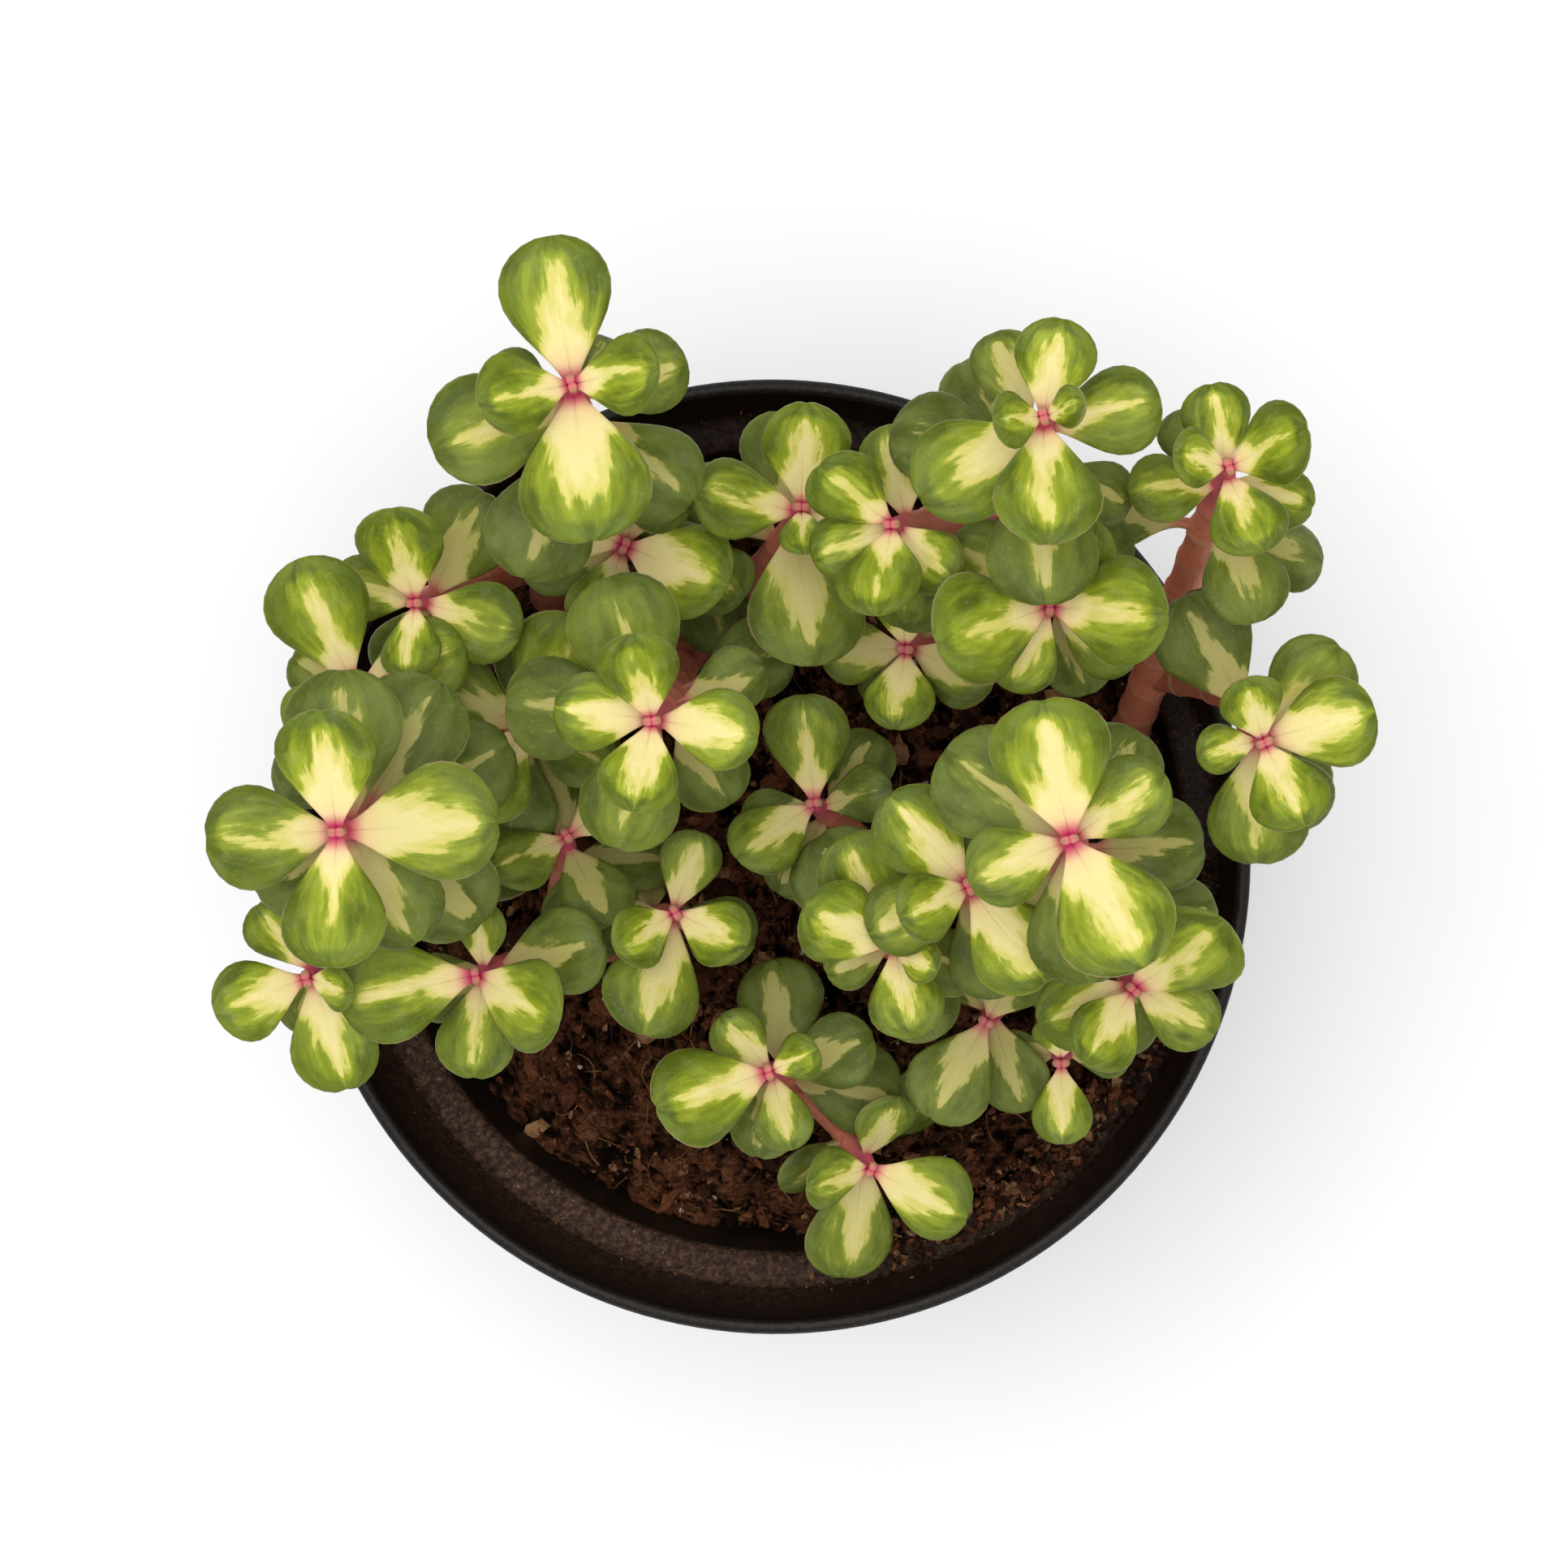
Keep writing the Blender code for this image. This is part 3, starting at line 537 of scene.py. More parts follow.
class Shape:
    """Points in mm and faces, with a material number for each face and vectors that the materials read."""

    def __init__(self, *vectors):
        self.points, self.faces, self.looks = [], [], []
        self.vectors = {name: [] for name in vectors}

    def add(self, points, faces, look=0, **vectors):
        first = len(self.points)
        self.points += [tuple(point) for point in points]
        self.faces += [tuple(first + i for i in face) for face in faces]
        self.looks += [look] * len(faces)
        for name, held in self.vectors.items():
            held += vectors.get(name, [(0.0, 0.0, 0.0)] * len(points))

    def piece(self, name, looks, slot, *nodes, sharp_deg=60):
        """The finished piece: it rides on the plant and stands for these nodes; slot is not used."""
        made = add_mesh(name, self.points, self.faces)
        mesh = made.data
        for look in looks:
            mesh.materials.append(look)
        mesh.polygons.foreach_set("material_index", self.looks)
        mesh.polygons.foreach_set("use_smooth", [True] * len(mesh.polygons))
        for vector, held in self.vectors.items():
            attribute = mesh.attributes.new(vector, "FLOAT_VECTOR", "POINT")
            attribute.data.foreach_set("vector", [value for row in held for value in row])
        mesh.validate()
        mesh.set_sharp_from_angle(angle=math.radians(sharp_deg))
        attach(made, "root")
        if nodes:
            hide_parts(*nodes)
        return made


def smooth_step(low, high, value):
    share = min(max((value - low) / (high - low), 0.0), 1.0)
    return share * share * (3 - 2 * share)


def linear(code):
    """The linear colour of an everyday #rrggbb code."""
    channels = [int(code[i:i + 2], 16) / 255 for i in (1, 3, 5)]
    return tuple(c / 12.92 if c <= 0.04045 else ((c + 0.055) / 1.055) ** 2.4 for c in channels)


class Look:
    """A material, and short ways to add the nodes that paint it. A colour can be given as a #rrggbb code."""

    def __init__(self, name, **values):
        self.material = bpy.data.materials.new(name)
        self.material.use_nodes = True
        self.nodes, self.links = self.material.node_tree.nodes, self.material.node_tree.links
        self.shader = self.nodes["Principled BSDF"]
        for socket, value in values.items():
            self.shader.inputs[socket.replace("_", " ")].default_value = value

    def put(self, socket, value):
        if hasattr(value, "links"):
            self.links.new(value, socket)
        elif isinstance(value, str):
            socket.default_value = (*linear(value), 1)
        else:
            socket.default_value = value

    def math(self, operation, a, b=0.0, clamp=False):
        node = self.nodes.new("ShaderNodeMath")
        node.operation, node.use_clamp = operation, clamp
        self.put(node.inputs[0], a)
        self.put(node.inputs[1], b)
        return node.outputs[0]

    def plus(self, a, b):
        return self.math("ADD", a, b)

    def minus(self, a, b):
        return self.math("SUBTRACT", a, b)

    def times(self, a, b):
        return self.math("MULTIPLY", a, b)

    def step(self, value, low, high, to_low=0.0, to_high=1.0):
        """Eases from to_low to to_high while the value goes from low to high."""
        node = self.nodes.new("ShaderNodeMapRange")
        node.interpolation_type = "SMOOTHSTEP"
        for socket, given in zip(node.inputs, (value, low, high, to_low, to_high)):
            self.put(socket, given)
        return node.outputs[0]

    def mix(self, share, a, b):
        node = self.nodes.new("ShaderNodeMix")
        node.data_type = "RGBA"
        self.put(node.inputs["Factor"], share)
        self.put(node.inputs[6], a)
        self.put(node.inputs[7], b)
        return node.outputs[2]

    def fade(self, value, low, high, a, b, most=1.0):
        """Eases from colour a towards colour b, at most this much, while the value goes from low to high."""
        return self.mix(self.step(value, low, high, 0.0, most), a, b)

    def split(self, attribute):
        """The three numbers of one of the mesh's vectors."""
        node = self.nodes.new("ShaderNodeAttribute")
        node.attribute_name = attribute
        parts = self.nodes.new("ShaderNodeSeparateXYZ")
        self.links.new(node.outputs["Vector"], parts.inputs[0])
        return parts.outputs

    def vector(self, x, y, z):
        node = self.nodes.new("ShaderNodeCombineXYZ")
        for socket, value in zip(node.inputs, (x, y, z)):
            self.put(socket, value)
        return node.outputs[0]

    def place(self):
        return self.nodes.new("ShaderNodeTexCoord").outputs["Object"]

    def noise(self, where, scale, detail, rough=0.5):
        node = self.nodes.new("ShaderNodeTexNoise")
        self.put(node.inputs["Vector"], where)
        node.inputs["Scale"].default_value = scale
        node.inputs["Detail"].default_value = detail
        node.inputs["Roughness"].default_value = rough
        return node.outputs[0]

    def cells(self, where, scale):
        """The distance to the nearest of many scattered points."""
        node = self.nodes.new("ShaderNodeTexVoronoi")
        self.put(node.inputs["Vector"], where)
        node.inputs["Scale"].default_value = scale
        return node.outputs["Distance"]

    def bump(self, height, distance, strength=1.0):
        node = self.nodes.new("ShaderNodeBump")
        node.inputs["Distance"].default_value = distance
        node.inputs["Strength"].default_value = strength
        self.put(node.inputs["Height"], height)
        self.links.new(node.outputs[0], self.shader.inputs["Normal"])

    def finish(self, colour, roughness=None):
        self.put(self.shader.inputs["Base Color"], colour)
        if roughness is not None:
            self.put(self.shader.inputs["Roughness"], roughness)
        return self.material


# ---------------------------------------------------------------- materials

def leaf_look():
    """Green margin, cream flame up the middle and pink base; duller and bluer with age.

    leaf_place holds how far along, how far across (-1 to 1) and which side (1 is the top).
    leaf_self holds the leaf's age from 0 to 1, raised by painted shade for pairs low in the plant, and two
    numbers of its own."""
    look = Look("leaf_flesh", Subsurface_Weight=0.08, Subsurface_Scale=0.0012, Specular_IOR_Level=0.16)
    look.shader.inputs["Subsurface Radius"].default_value = (0.8, 1.0, 0.3)
    along, across, top = look.split("leaf_place")
    age, first, second = look.split("leaf_self")
    aside = look.math("ABSOLUTE", across)
    own = look.plus(look.times(first, 31.0), look.times(second, 17.0))

    def streaks(stretch, fan_out, own_shift, detail, rough):
        shifted = look.plus(look.times(along, stretch), own_shift)
        fanned = look.plus(look.times(across, fan_out), own)
        return look.noise(look.vector(shifted, fanned, look.times(top, 0.4)), 1.0, detail, rough)

    tongues = streaks(2.4, 3.0, first, 3.0, 0.6)
    threads = streaks(2.2, 12.0, second, 2.5, 0.55)
    blotch = streaks(2.6, 2.0, own, 3.0, 0.55)

    # The flame covers the places that are further inside it than 0.
    spread = look.step(second, 0.0, 1.0, 0.42, 1.16)
    spread = look.times(spread, look.step(age, 0.3, 1.0, 1.0, 0.72))
    taper = look.math("POWER", look.math("SUBTRACT", 1.0, look.math("DIVIDE", along, 0.96), True), 0.95)
    flame = look.times(look.times(taper, 0.92), spread)
    flame = look.plus(flame, look.step(along, 0.42, 0.06, 0.0, 0.85))
    wander = look.times(look.minus(tongues, 0.5), look.step(along, 0.05, 0.5, 0.2, 1.15))
    fray = look.times(look.minus(threads, 0.5), look.step(along, 0.1, 0.6, 0.1, 0.3))
    inside = look.minus(look.plus(look.plus(flame, wander), fray), aside)
    inside = look.minus(inside, look.step(along, 0.84, 0.97, 0.0, 0.5))

    margin = look.fade(blotch, 0.3, 0.7, "#4c5a0c", "#6b7b1c")
    inner = look.fade(tongues, 0.25, 0.75, "#83921c", "#a0ab2f")
    green = look.fade(inside, -0.62, -0.02, margin, inner)
    green = look.fade(threads, 0.45, 0.75, green, "#a6ae44", 0.12)
    old_green = look.fade(blotch, 0.3, 0.7, "#475217", "#677132")
    # age carries painted shade too, so pairs low in the plant take these dull old colours.
    green = look.fade(age, 0.12, 0.9, green, old_green, 0.92)
    cream = look.fade(inside, 0.03, 0.34, "#d3cb68", "#eadc99")
    cream = look.fade(threads, 0.42, 0.7, cream, "#dcd27c", 0.2)
    cream = look.fade(age, 0.15, 0.9, cream, "#a29b58", 0.9)
    colour = look.fade(inside, -0.09, 0.0, green, "#b3b848", 0.55)
    colour = look.fade(age, 0.2, 0.9, colour, green, 0.7)
    colour = look.fade(inside, -0.03, 0.06, colour, cream)

    blush = look.times(look.step(along, 0.3, 0.03), look.step(age, 0.2, 1.0, 0.6, 0.22))
    colour = look.mix(blush, colour, "#edb49c")
    heart = look.times(look.step(along, 0.16, 0.02), look.step(age, 0.2, 1.0, 1.0, 0.55))
    colour = look.mix(heart, colour, "#c43862")
    flank = look.minus(1.0, look.math("ABSOLUTE", top))
    edge = look.times(look.step(flank, 0.76, 1.0), look.step(first, 0.3, 1.0, 0.15, 0.65))
    colour = look.mix(edge, colour, "#a88a63")
    colour = look.fade(top, 0.15, -0.2, colour, "#879250", 0.45)
    bloom = look.noise(look.place(), 420.0, 4.0, 0.65)
    colour = look.fade(bloom, 0.45, 0.8, colour, "#c3cbb0", 0.07)
    pocks = look.cells(look.place(), 1100.0)
    colour = look.fade(pocks, 0.25, 0.08, colour, "#cfd6a8", 0.06)

    pores = look.cells(look.place(), 2600.0)
    fine = look.noise(look.place(), 1500.0, 3.0, 0.6)
    height = look.plus(look.times(pores, 0.25), look.times(fine, 0.35))
    vein = look.times(look.step(aside, 0.07, 0.0), look.step(along, 0.75, 0.1, 0.0, -0.7))
    ribs = look.times(threads, 0.35)
    look.bump(look.plus(look.plus(height, ribs), vein), 0.00016, 0.7)
    return look.finish(colour, look.step(bloom, 0.3, 0.7, 0.4, 0.56))


def stem_look():
    """Rosy skin near the tip, browner and cracked below, with pale scars where leaves have dropped.

    stem_place holds the age from 0 at the tip to 1 at the soil, how near a node is, and the angle round."""
    look = Look("stem_skin", Subsurface_Weight=0.04, Subsurface_Scale=0.001, IOR=1.42)
    age, node, angle = look.split("stem_place")
    grain = look.noise(look.place(), 700.0, 4.0, 0.62)
    cracks = look.noise(look.vector(look.times(angle, 3.0), look.times(age, 7.0), node), 3.0, 4.0, 0.65)
    rosy = look.mix(grain, "#bd5f48", "#d9896a")
    brown = look.mix(grain, "#83432e", "#b06a50")
    colour = look.fade(age, 0.02, 0.22, "#c4506a", rosy)
    colour = look.fade(age, 0.35, 1.0, colour, brown)
    colour = look.fade(node, 0.55, 0.95, colour, "#b99a78", 0.55)
    colour = look.fade(cracks, 0.58, 0.74, colour, "#4a271c", 0.5)
    look.bump(look.plus(look.times(grain, 0.6), look.times(cracks, -0.8)), 0.00025, 0.8)
    return look.finish(colour, look.step(cracks, 0.3, 0.7, 0.45, 0.68))


def pot_look():
    """Black moulded plastic, scuffed at the lip, dusty with dried soil on the ledge and low on the collar.

    pot_place holds how dirty the place is, how scuffed it is, and how far round it is."""
    look = Look("pot_plastic", Specular_IOR_Level=0.18)
    grime, scuff, angle = look.split("pot_place")
    place = look.place()
    wide = look.noise(place, 60.0, 4.0, 0.6)
    fine = look.noise(place, 1300.0, 5.0, 0.75)
    tiny = look.noise(place, 2600.0, 2.0, 0.6)
    smear = look.noise(look.vector(look.times(angle, 16.0), look.times(grime, 1.5), scuff), 2.0, 4.0, 0.6)
    black = look.mix(wide, "#0d0907", "#191410")
    dust = look.fade(fine, 0.35, 0.7, "#2e1c14", "#654c3c")
    patch = look.plus(look.times(fine, 0.5), look.times(smear, 0.6))
    dusty = look.times(grime, look.step(patch, 0.36, 0.66, 0.3, 1.0))
    colour = look.mix(dusty, black, dust)
    specks = look.times(look.step(tiny, 0.68, 0.74), look.times(grime, 0.7))
    colour = look.mix(specks, colour, "#a6958a")
    worn = look.times(scuff, look.step(fine, 0.42, 0.62, 0.2, 0.9))
    colour = look.mix(worn, colour, "#221e1a")
    roughness = look.plus(look.step(wide, 0.3, 0.7, 0.34, 0.46), look.times(dusty, 0.42))
    height = look.plus(look.times(fine, look.step(grime, 0.0, 0.8, 0.25, 1.2)), tiny)
    look.bump(height, 0.00012, 0.7)
    return look.finish(colour, roughness)


def soil_look():
    """Red-brown crumbs with pale flecks, darkened by painted shade in the crevices and lightened by painted
    light where they stand out.

    soil_place holds how far the place stands out of its surroundings."""
    look = Look("potting_mix", Specular_IOR_Level=0.08)
    stands_out = look.split("soil_place")[0]
    clods = look.noise(look.place(), 520.0, 6.0, 0.72)
    crumbs = look.noise(look.place(), 1700.0, 5.0, 0.75)
    # Painted shade and light: the relief darkens the colour in the crevices and lightens it where the soil
    # stands out.
    relief_for_painted_light_and_shade = look.plus(stands_out, look.times(look.minus(clods, 0.5), 3.0))
    colour = look.fade(relief_for_painted_light_and_shade, -1.3, 0.2, "#20120a", "#7c4a2f")
    # Painted light: the pale crumb colour lands only on the raised places.
    crumbs_and_painted_light = look.times(look.step(crumbs, 0.46, 0.62, 0.0, 0.85), look.step(relief_for_painted_light_and_shade, -1.2, -0.1))
    colour = look.mix(crumbs_and_painted_light, colour, "#ac7450")
    flecks = look.cells(look.place(), 900.0)
    colour = look.fade(flecks, 0.16, 0.08, colour, "#a98f63", 0.6)
    look.bump(look.plus(clods, crumbs), 0.0012)
    return look.finish(colour, 0.92)


def bits_look(name, dark, mid, pale, roughness, grain_scale, bump):
    """Loose bits, each with its own tone in bit_self, and grain that follows the bit."""
    look = Look(name, Specular_IOR_Level=0.14)
    tone, along, own = look.split("bit_self")
    grain = look.noise(look.vector(look.times(along, 1.2), look.times(own, 40.0), tone), 3.0, 4.0, 0.65)
    fine = look.noise(look.place(), grain_scale, 4.0, 0.65)
    colour = look.fade(tone, 0.0, 0.6, dark, mid)
    colour = look.fade(tone, 0.6, 1.0, colour, pale)
    shade = look.plus(look.times(grain, 0.5), look.times(fine, 0.7))
    colour = look.mix(look.step(shade, 0.42, 0.7, 0.7, 0.0), colour, dark)
    look.bump(shade, bump)
    return look.finish(colour, roughness)


# ---------------------------------------------------------------- pot

SHELL_STEPS = 160
CORNER_BEND = 1.3
CORNER_STEPS = 6
DRAIN_STEPS = 40


def rounded(profile, bend, count):
    """The profile with each inner corner turned into a short bend of this many steps."""
    outline = [Vector((*point, 0)) for point in profile]
    points = [outline[0]]
    for before, corner, after in zip(outline, outline[1:], outline[2:]):
        first, last = before - corner, after - corner
        reach = min(bend, first.length * 0.42, last.length * 0.42)
        start, end = corner + first.normalized() * reach, corner + last.normalized() * reach
        for i in range(count + 1):
            t = i / count
            points.append(start.lerp(corner, t).lerp(corner.lerp(end, t), t))
    return [(point.x, point.y) for point in points + [outline[-1]]]


def pot_marks(radius, height, angle):
    """(grime, scuff, angle): dried soil lies on the ledge and thins up the collar; the lip is scuffed."""
    grime = 0.0
    inside = COLLAR_INNER + 0.3 + 1.5 * max(height - LEDGE_Z, 0) / COLLAR_HEIGHT
    if height > POT_FLOOR and radius < inside:
        grime = 0.3 * smooth_step(POT_HEIGHT - 3.0, LEDGE_Z + 2.5, height)
        grime += 0.7 * smooth_step(LEDGE_Z + 3.0, LEDGE_Z + 0.4, height)
        grime *= 0.45 + 0.55 * smooth_step(-0.6, 0.9, math.cos(angle + 2.5))
        grime *= smooth_step(LEDGE_Z - 1.6, LEDGE_Z - 0.2, height)
    elif height < LEDGE_Z:
        grime = 0.10 * smooth_step(14, 0, height)
    scuff = smooth_step(POT_HEIGHT - 0.5, POT_HEIGHT, height)
    scuff += 0.5 * smooth_step(1.6, 0.0, height)
    return (grime, min(scuff, 1.0), angle)


def make_pot():
    profile = rounded(pot_profile(), CORNER_BEND, CORNER_STEPS)
    points, faces = turned(profile, SHELL_STEPS)
    rows = [profile[0]] + [row for row in profile[1:-1] for _ in range(SHELL_STEPS)] + [profile[-1]]
    marks = []
    for (radius, height), point in zip(rows, points):
        marks.append(pot_marks(radius, height, math.atan2(point[1], point[0])))
    shape = Shape("pot_place")
    shape.add(points, faces, pot_place=marks)
    pot = shape.piece("pot_shell", [pot_look()], "pot", "pot", sharp_deg=50)

    drill = Shape()
    low, high = -3, POT_FLOOR + 3
    bore = ((0, low), (DRAIN_RADIUS, low), (DRAIN_RADIUS, high), (0, high))
    points, faces = turned(bore, DRAIN_STEPS)
    for c, s in circle(DRAIN_HOLES):
        across = Matrix.Translation((DRAIN_CIRCLE * c, DRAIN_CIRCLE * s, 0))
        drill.add([across @ Vector(point) for point in points], faces)
    cutter = add_mesh("drill", drill.points, drill.faces)
    for mesh in (cutter.data, pot.data):
        build = bmesh.new()
        build.from_mesh(mesh)
        bmesh.ops.recalc_face_normals(build, faces=build.faces)
        build.to_mesh(mesh)
        build.free()
    cut = pot.modifiers.new("drain_holes", "BOOLEAN")
    cut.operation, cut.solver, cut.object = "DIFFERENCE", "EXACT", cutter
    bpy.context.view_layer.update()
    drilled = bpy.data.meshes.new_from_object(pot.evaluated_get(bpy.context.evaluated_depsgraph_get()))
    pot.modifiers.clear()
    pot.data = drilled
    bpy.data.objects.remove(cutter)


# ---------------------------------------------------------------- soil

BED_STEPS = 340
BED_RINGS = 124
BED_GAP = 0.9
CLOD_HEIGHT = 2.1
EDGE_SINK = 2.6
BARK_BITS = 3200
LARGE_BARK_BITS = 241
HEAP_BITS = 1500
LEDGE_SPECKS = 260
PERLITE_BITS = 120
FIBRES = 900
FIBRE_PARTS = 5


def heap_side(east, north):
    """1 where the soil is heaped over the ledge, 0 elsewhere."""
    angle = math.degrees(math.atan2(north, east))
    return smooth_step(-92, -70, angle) * smooth_step(6, -18, angle)


def clod_relief(east, north):
    """How far the soil stands above (or below) its smooth surface: clods with crevices between them."""
    place = Vector((east, north, 3.7))
    relief = noise.turbulence(place * 0.24, 3, False) - 0.55
    relief += (0.55 * noise.noise(place * 0.62) + 0.6 * noise.noise(place * 1.3)
               + 0.5 * noise.noise(place * 2.7))
    gap = abs(noise.noise(place * 0.27 + Vector((9, 4, 1))) + 0.3 * noise.noise(place * 0.9))
    return relief - 0.7 * smooth_step(0.11, 0.0, gap)


def bed_height(east, north):
    """The modelled surface of the soil, broken into clods, and sunk at the wall where it isn't heaped."""
    reach = math.hypot(east, north)
    sunk = smooth_step(WALL_TOP_INNER - 6.0, WALL_TOP_INNER - 0.8, reach) * (1 - heap_side(east, north))
    return soil_top(east, north) + CLOD_HEIGHT * clod_relief(east, north) - EDGE_SINK * sunk


def make_soil_bed():
    places = [(0, 0)]
    for row, (c, s) in product(range(1, BED_RINGS + 1), circle(BED_STEPS)):
        radius = (WALL_TOP_INNER - BED_GAP) * row / BED_RINGS
        places.append((radius * c, radius * s))
    points = [(*place, bed_height(*place)) for place in places]
    # The relief goes to soil_look, which paints shade in the crevices and light on the raised clods from it.
    marks = [(clod_relief(*place), 0.0, 0.0) for place in places]
    floor = POT_FLOOR + FIT
    points += ring(WALL_FOOT_INNER - 0.5, floor + 1, BED_STEPS)
    points += ring(WALL_FOOT_INNER - 1.3, floor, BED_STEPS)
    points.append((0, 0, floor))
    marks += [(0.0, 0.0, 0.0)] * (len(points) - len(marks))
    shape = Shape("soil_place")
    shape.add(points, mound_faces(BED_RINGS + 2, BED_STEPS), soil_place=marks)
    shape.piece("soil_bed", [soil_look()], "soil", "soil")


def ball_shape(subdivisions):
    build = bmesh.new()
    bmesh.ops.create_icosphere(build, subdivisions=subdivisions, radius=1)
    points = [vert.co.copy() for vert in build.verts]
    faces = [tuple(vert.index for vert in face.verts) for face in build.faces]
    build.free()
    return points, faces


def add_bit(shape, ball, place, size, turn, chance, tone, rough):
    """One rough bit: a ball stretched to size, dented by noise, and turned."""
    points, faces = ball
    own = chance.random()
    shift = Vector((own * 90, own * 37, own * 11))
    made, marks = [], []
    for point in points:
        dent = 1 + rough * noise.noise(point * 1.3 + shift) + rough * 0.5 * noise.noise(point * 3.1 + shift)
        local = Vector((point.x * size[0], point.y * size[1], point.z * size[2])) * dent
        made.append(place + turn @ local)
        marks.append((tone, point.x, own))
    shape.add(made, faces, bit_self=marks)


def bit_size(chance, long, wide, thick):
    """(length, width, thickness) of a bit, the last two drawn from these (low, high) shares of its length."""
    return long, long * chance.uniform(*wide), long * chance.uniform(*thick)


def tilt(chance, most):
    """A random turn: any way round, and tipped from level by up to this many degrees."""
    turn = Matrix.Rotation(chance.uniform(0, 2 * math.pi), 3, "Z")
    tip = Matrix.Rotation(math.radians(chance.uniform(-most, most)), 3, "Y")
    roll = Matrix.Rotation(math.radians(chance.uniform(-most, most)), 3, "X")
    return turn @ tip @ roll


def on_soil(chance, edge):
    """A random (east, north) on the soil, kept this far from the wall."""
    reach = (WALL_TOP_INNER - edge) * math.sqrt(chance.random())
    angle = chance.uniform(0, 2 * math.pi)
    return reach * math.cos(angle), reach * math.sin(angle)


def add_bark(bark, chance):
    """Bark all over the soil, more of it heaped over the ledge, and specks on the ledge and the collar."""
    small, large = ball_shape(1), ball_shape(2)
    for i in range(BARK_BITS):
        east, north = on_soil(chance, 2.0)
        lengths = (1.1, 1.4, 1.8, 2.2) if i < LARGE_BARK_BITS else (0.2, 0.28, 0.35, 0.45, 0.6, 0.8)
        size = bit_size(chance, chance.choice(lengths), (0.4, 0.8), (0.25, 0.55))
        place = Vector((east, north, bed_height(east, north) + size[2] * chance.uniform(-0.1, 0.7)))
        ball = large if size[0] > 1.4 else small
        add_bit(bark, ball, place, size, tilt(chance, 60), chance, chance.random() ** 1.1, 0.85)
    for i in range(HEAP_BITS):
        angle, pile = math.radians(chance.uniform(-86, 0)), chance.random() ** 2
        reach = chance.uniform(WALL_TOP_INNER - 2.0, COLLAR_INNER - 0.9)
        size = bit_size(chance, chance.choice((0.2, 0.3, 0.4, 0.55, 0.8)), (0.3, 0.8), (0.25, 0.5))
        height = LEDGE_Z + 0.3 + size[2] * 0.6 + 2.2 * pile
        place = Vector((reach * math.cos(angle), reach * math.sin(angle), height))
        add_bit(bark, small, place, size, tilt(chance, 50), chance, chance.random() ** 1.3, 0.9)
    for i in range(LEDGE_SPECKS):
        on_collar = i % 3 == 0
        angle, high = chance.uniform(-math.pi, math.pi), chance.random() ** 3
        nearest = WALL_TOP_INNER + 1.2 + 0.4 * i / LEDGE_SPECKS
        reach = COLLAR_INNER - 0.12 if on_collar else chance.uniform(nearest, COLLAR_INNER - 0.8)
        size = bit_size(chance, chance.uniform(0.1, 0.28), (0.4, 0.8), (0.3, 0.5))
        height = LEDGE_Z + (1.5 + 12.0 * high if on_collar else 0.05)
        place = Vector((reach * math.cos(angle), reach * math.sin(angle), height))
        add_bit(bark, small, place, size, tilt(chance, 70), chance, 0.55 + 0.45 * chance.random(), 0.8)


def add_perlite(perlite, chance):
    small = ball_shape(1)
    for i in range(PERLITE_BITS):
        east, north = on_soil(chance, 2.0)
        long = chance.uniform(0.18, 0.4) if i % 6 else chance.uniform(0.42, 0.68)
        place = Vector((east, north, bed_height(east, north) + chance.uniform(0.1, 0.5)))
        size = bit_size(chance, long, (0.5, 0.9), (0.4, 0.8))
        add_bit(perlite, small, place, size, tilt(chance, 80), chance, chance.random(), 1.1)


def add_fibres(fibres, chance):
    """Curved square threads that arch a little over the soil, each of a few straight parts."""
    last = 4 * FIBRE_PARTS
    faces = [(0, 1, 2, 3), (last + 3, last + 2, last + 1, last)]
    for k, corner in product(range(FIBRE_PARTS), range(4)):
        after = (corner + 1) % 4
        faces.append((4 * k + corner, 4 * k + 4 + corner, 4 * k + 4 + after, 4 * k + after))
    for i in range(FIBRES):
        east, north = on_soil(chance, 3.0)
        heading, bend = chance.uniform(0, 2 * math.pi), chance.uniform(-0.5, 0.5)
        length, radius, tone = chance.uniform(1.2, 6.0), chance.uniform(0.04, 0.12), chance.random()
        relief_for_painted_light_and_shade, points = chance.uniform(0.3, 1.5), []
        for k in range(FIBRE_PARTS + 1):
            reach = min(1.0, (WALL_TOP_INNER - 1.5) / max(math.hypot(east, north), 1))
            east, north = east * reach, north * reach
            height = bed_height(east, north) + 0.3 + relief_for_painted_light_and_shade * math.sin(math.pi * k / FIBRE_PARTS)
            centre = Vector((east, north, height))
            way = Vector((math.cos(heading), math.sin(heading), 0))
            side = way.cross(UP)
            for corner in range(4):
                spin = math.pi * (0.25 + corner / 2)
                points.append(centre + radius * (side * math.cos(spin) + UP * math.sin(spin)))
            east, north = east + way.x * length / FIBRE_PARTS, north + way.y * length / FIBRE_PARTS
            heading += bend
        marks = [(tone, i / FIBRES, k / len(points)) for k in range(len(points))]
        fibres.add(points, faces, bit_self=marks)


def make_soil_bits():
    chance = random.Random("soil bits")
    kinds = (
        ("soil_bark", add_bark, "bark_bits", "#2a170d", "#7d4a30", "#a97f58", 0.9, 1500.0, 0.0006),
        ("soil_perlite", add_perlite, "perlite_bits", "#94866f", "#cbbfa9", "#ebe3d2", 0.85, 1600.0, 0.0003),
        ("soil_coir", add_fibres, "coir_fibres", "#2e1a0e", "#5f3920", "#8f683f", 0.85, 1200.0, 0.0001),
    )
    for name, add_all, *look in kinds:
        shape = Shape("bit_self")
        add_all(shape, chance)
        shape.piece(name, [bits_look(*look)], "soil")


# ---------------------------------------------------------------- stems and leaves

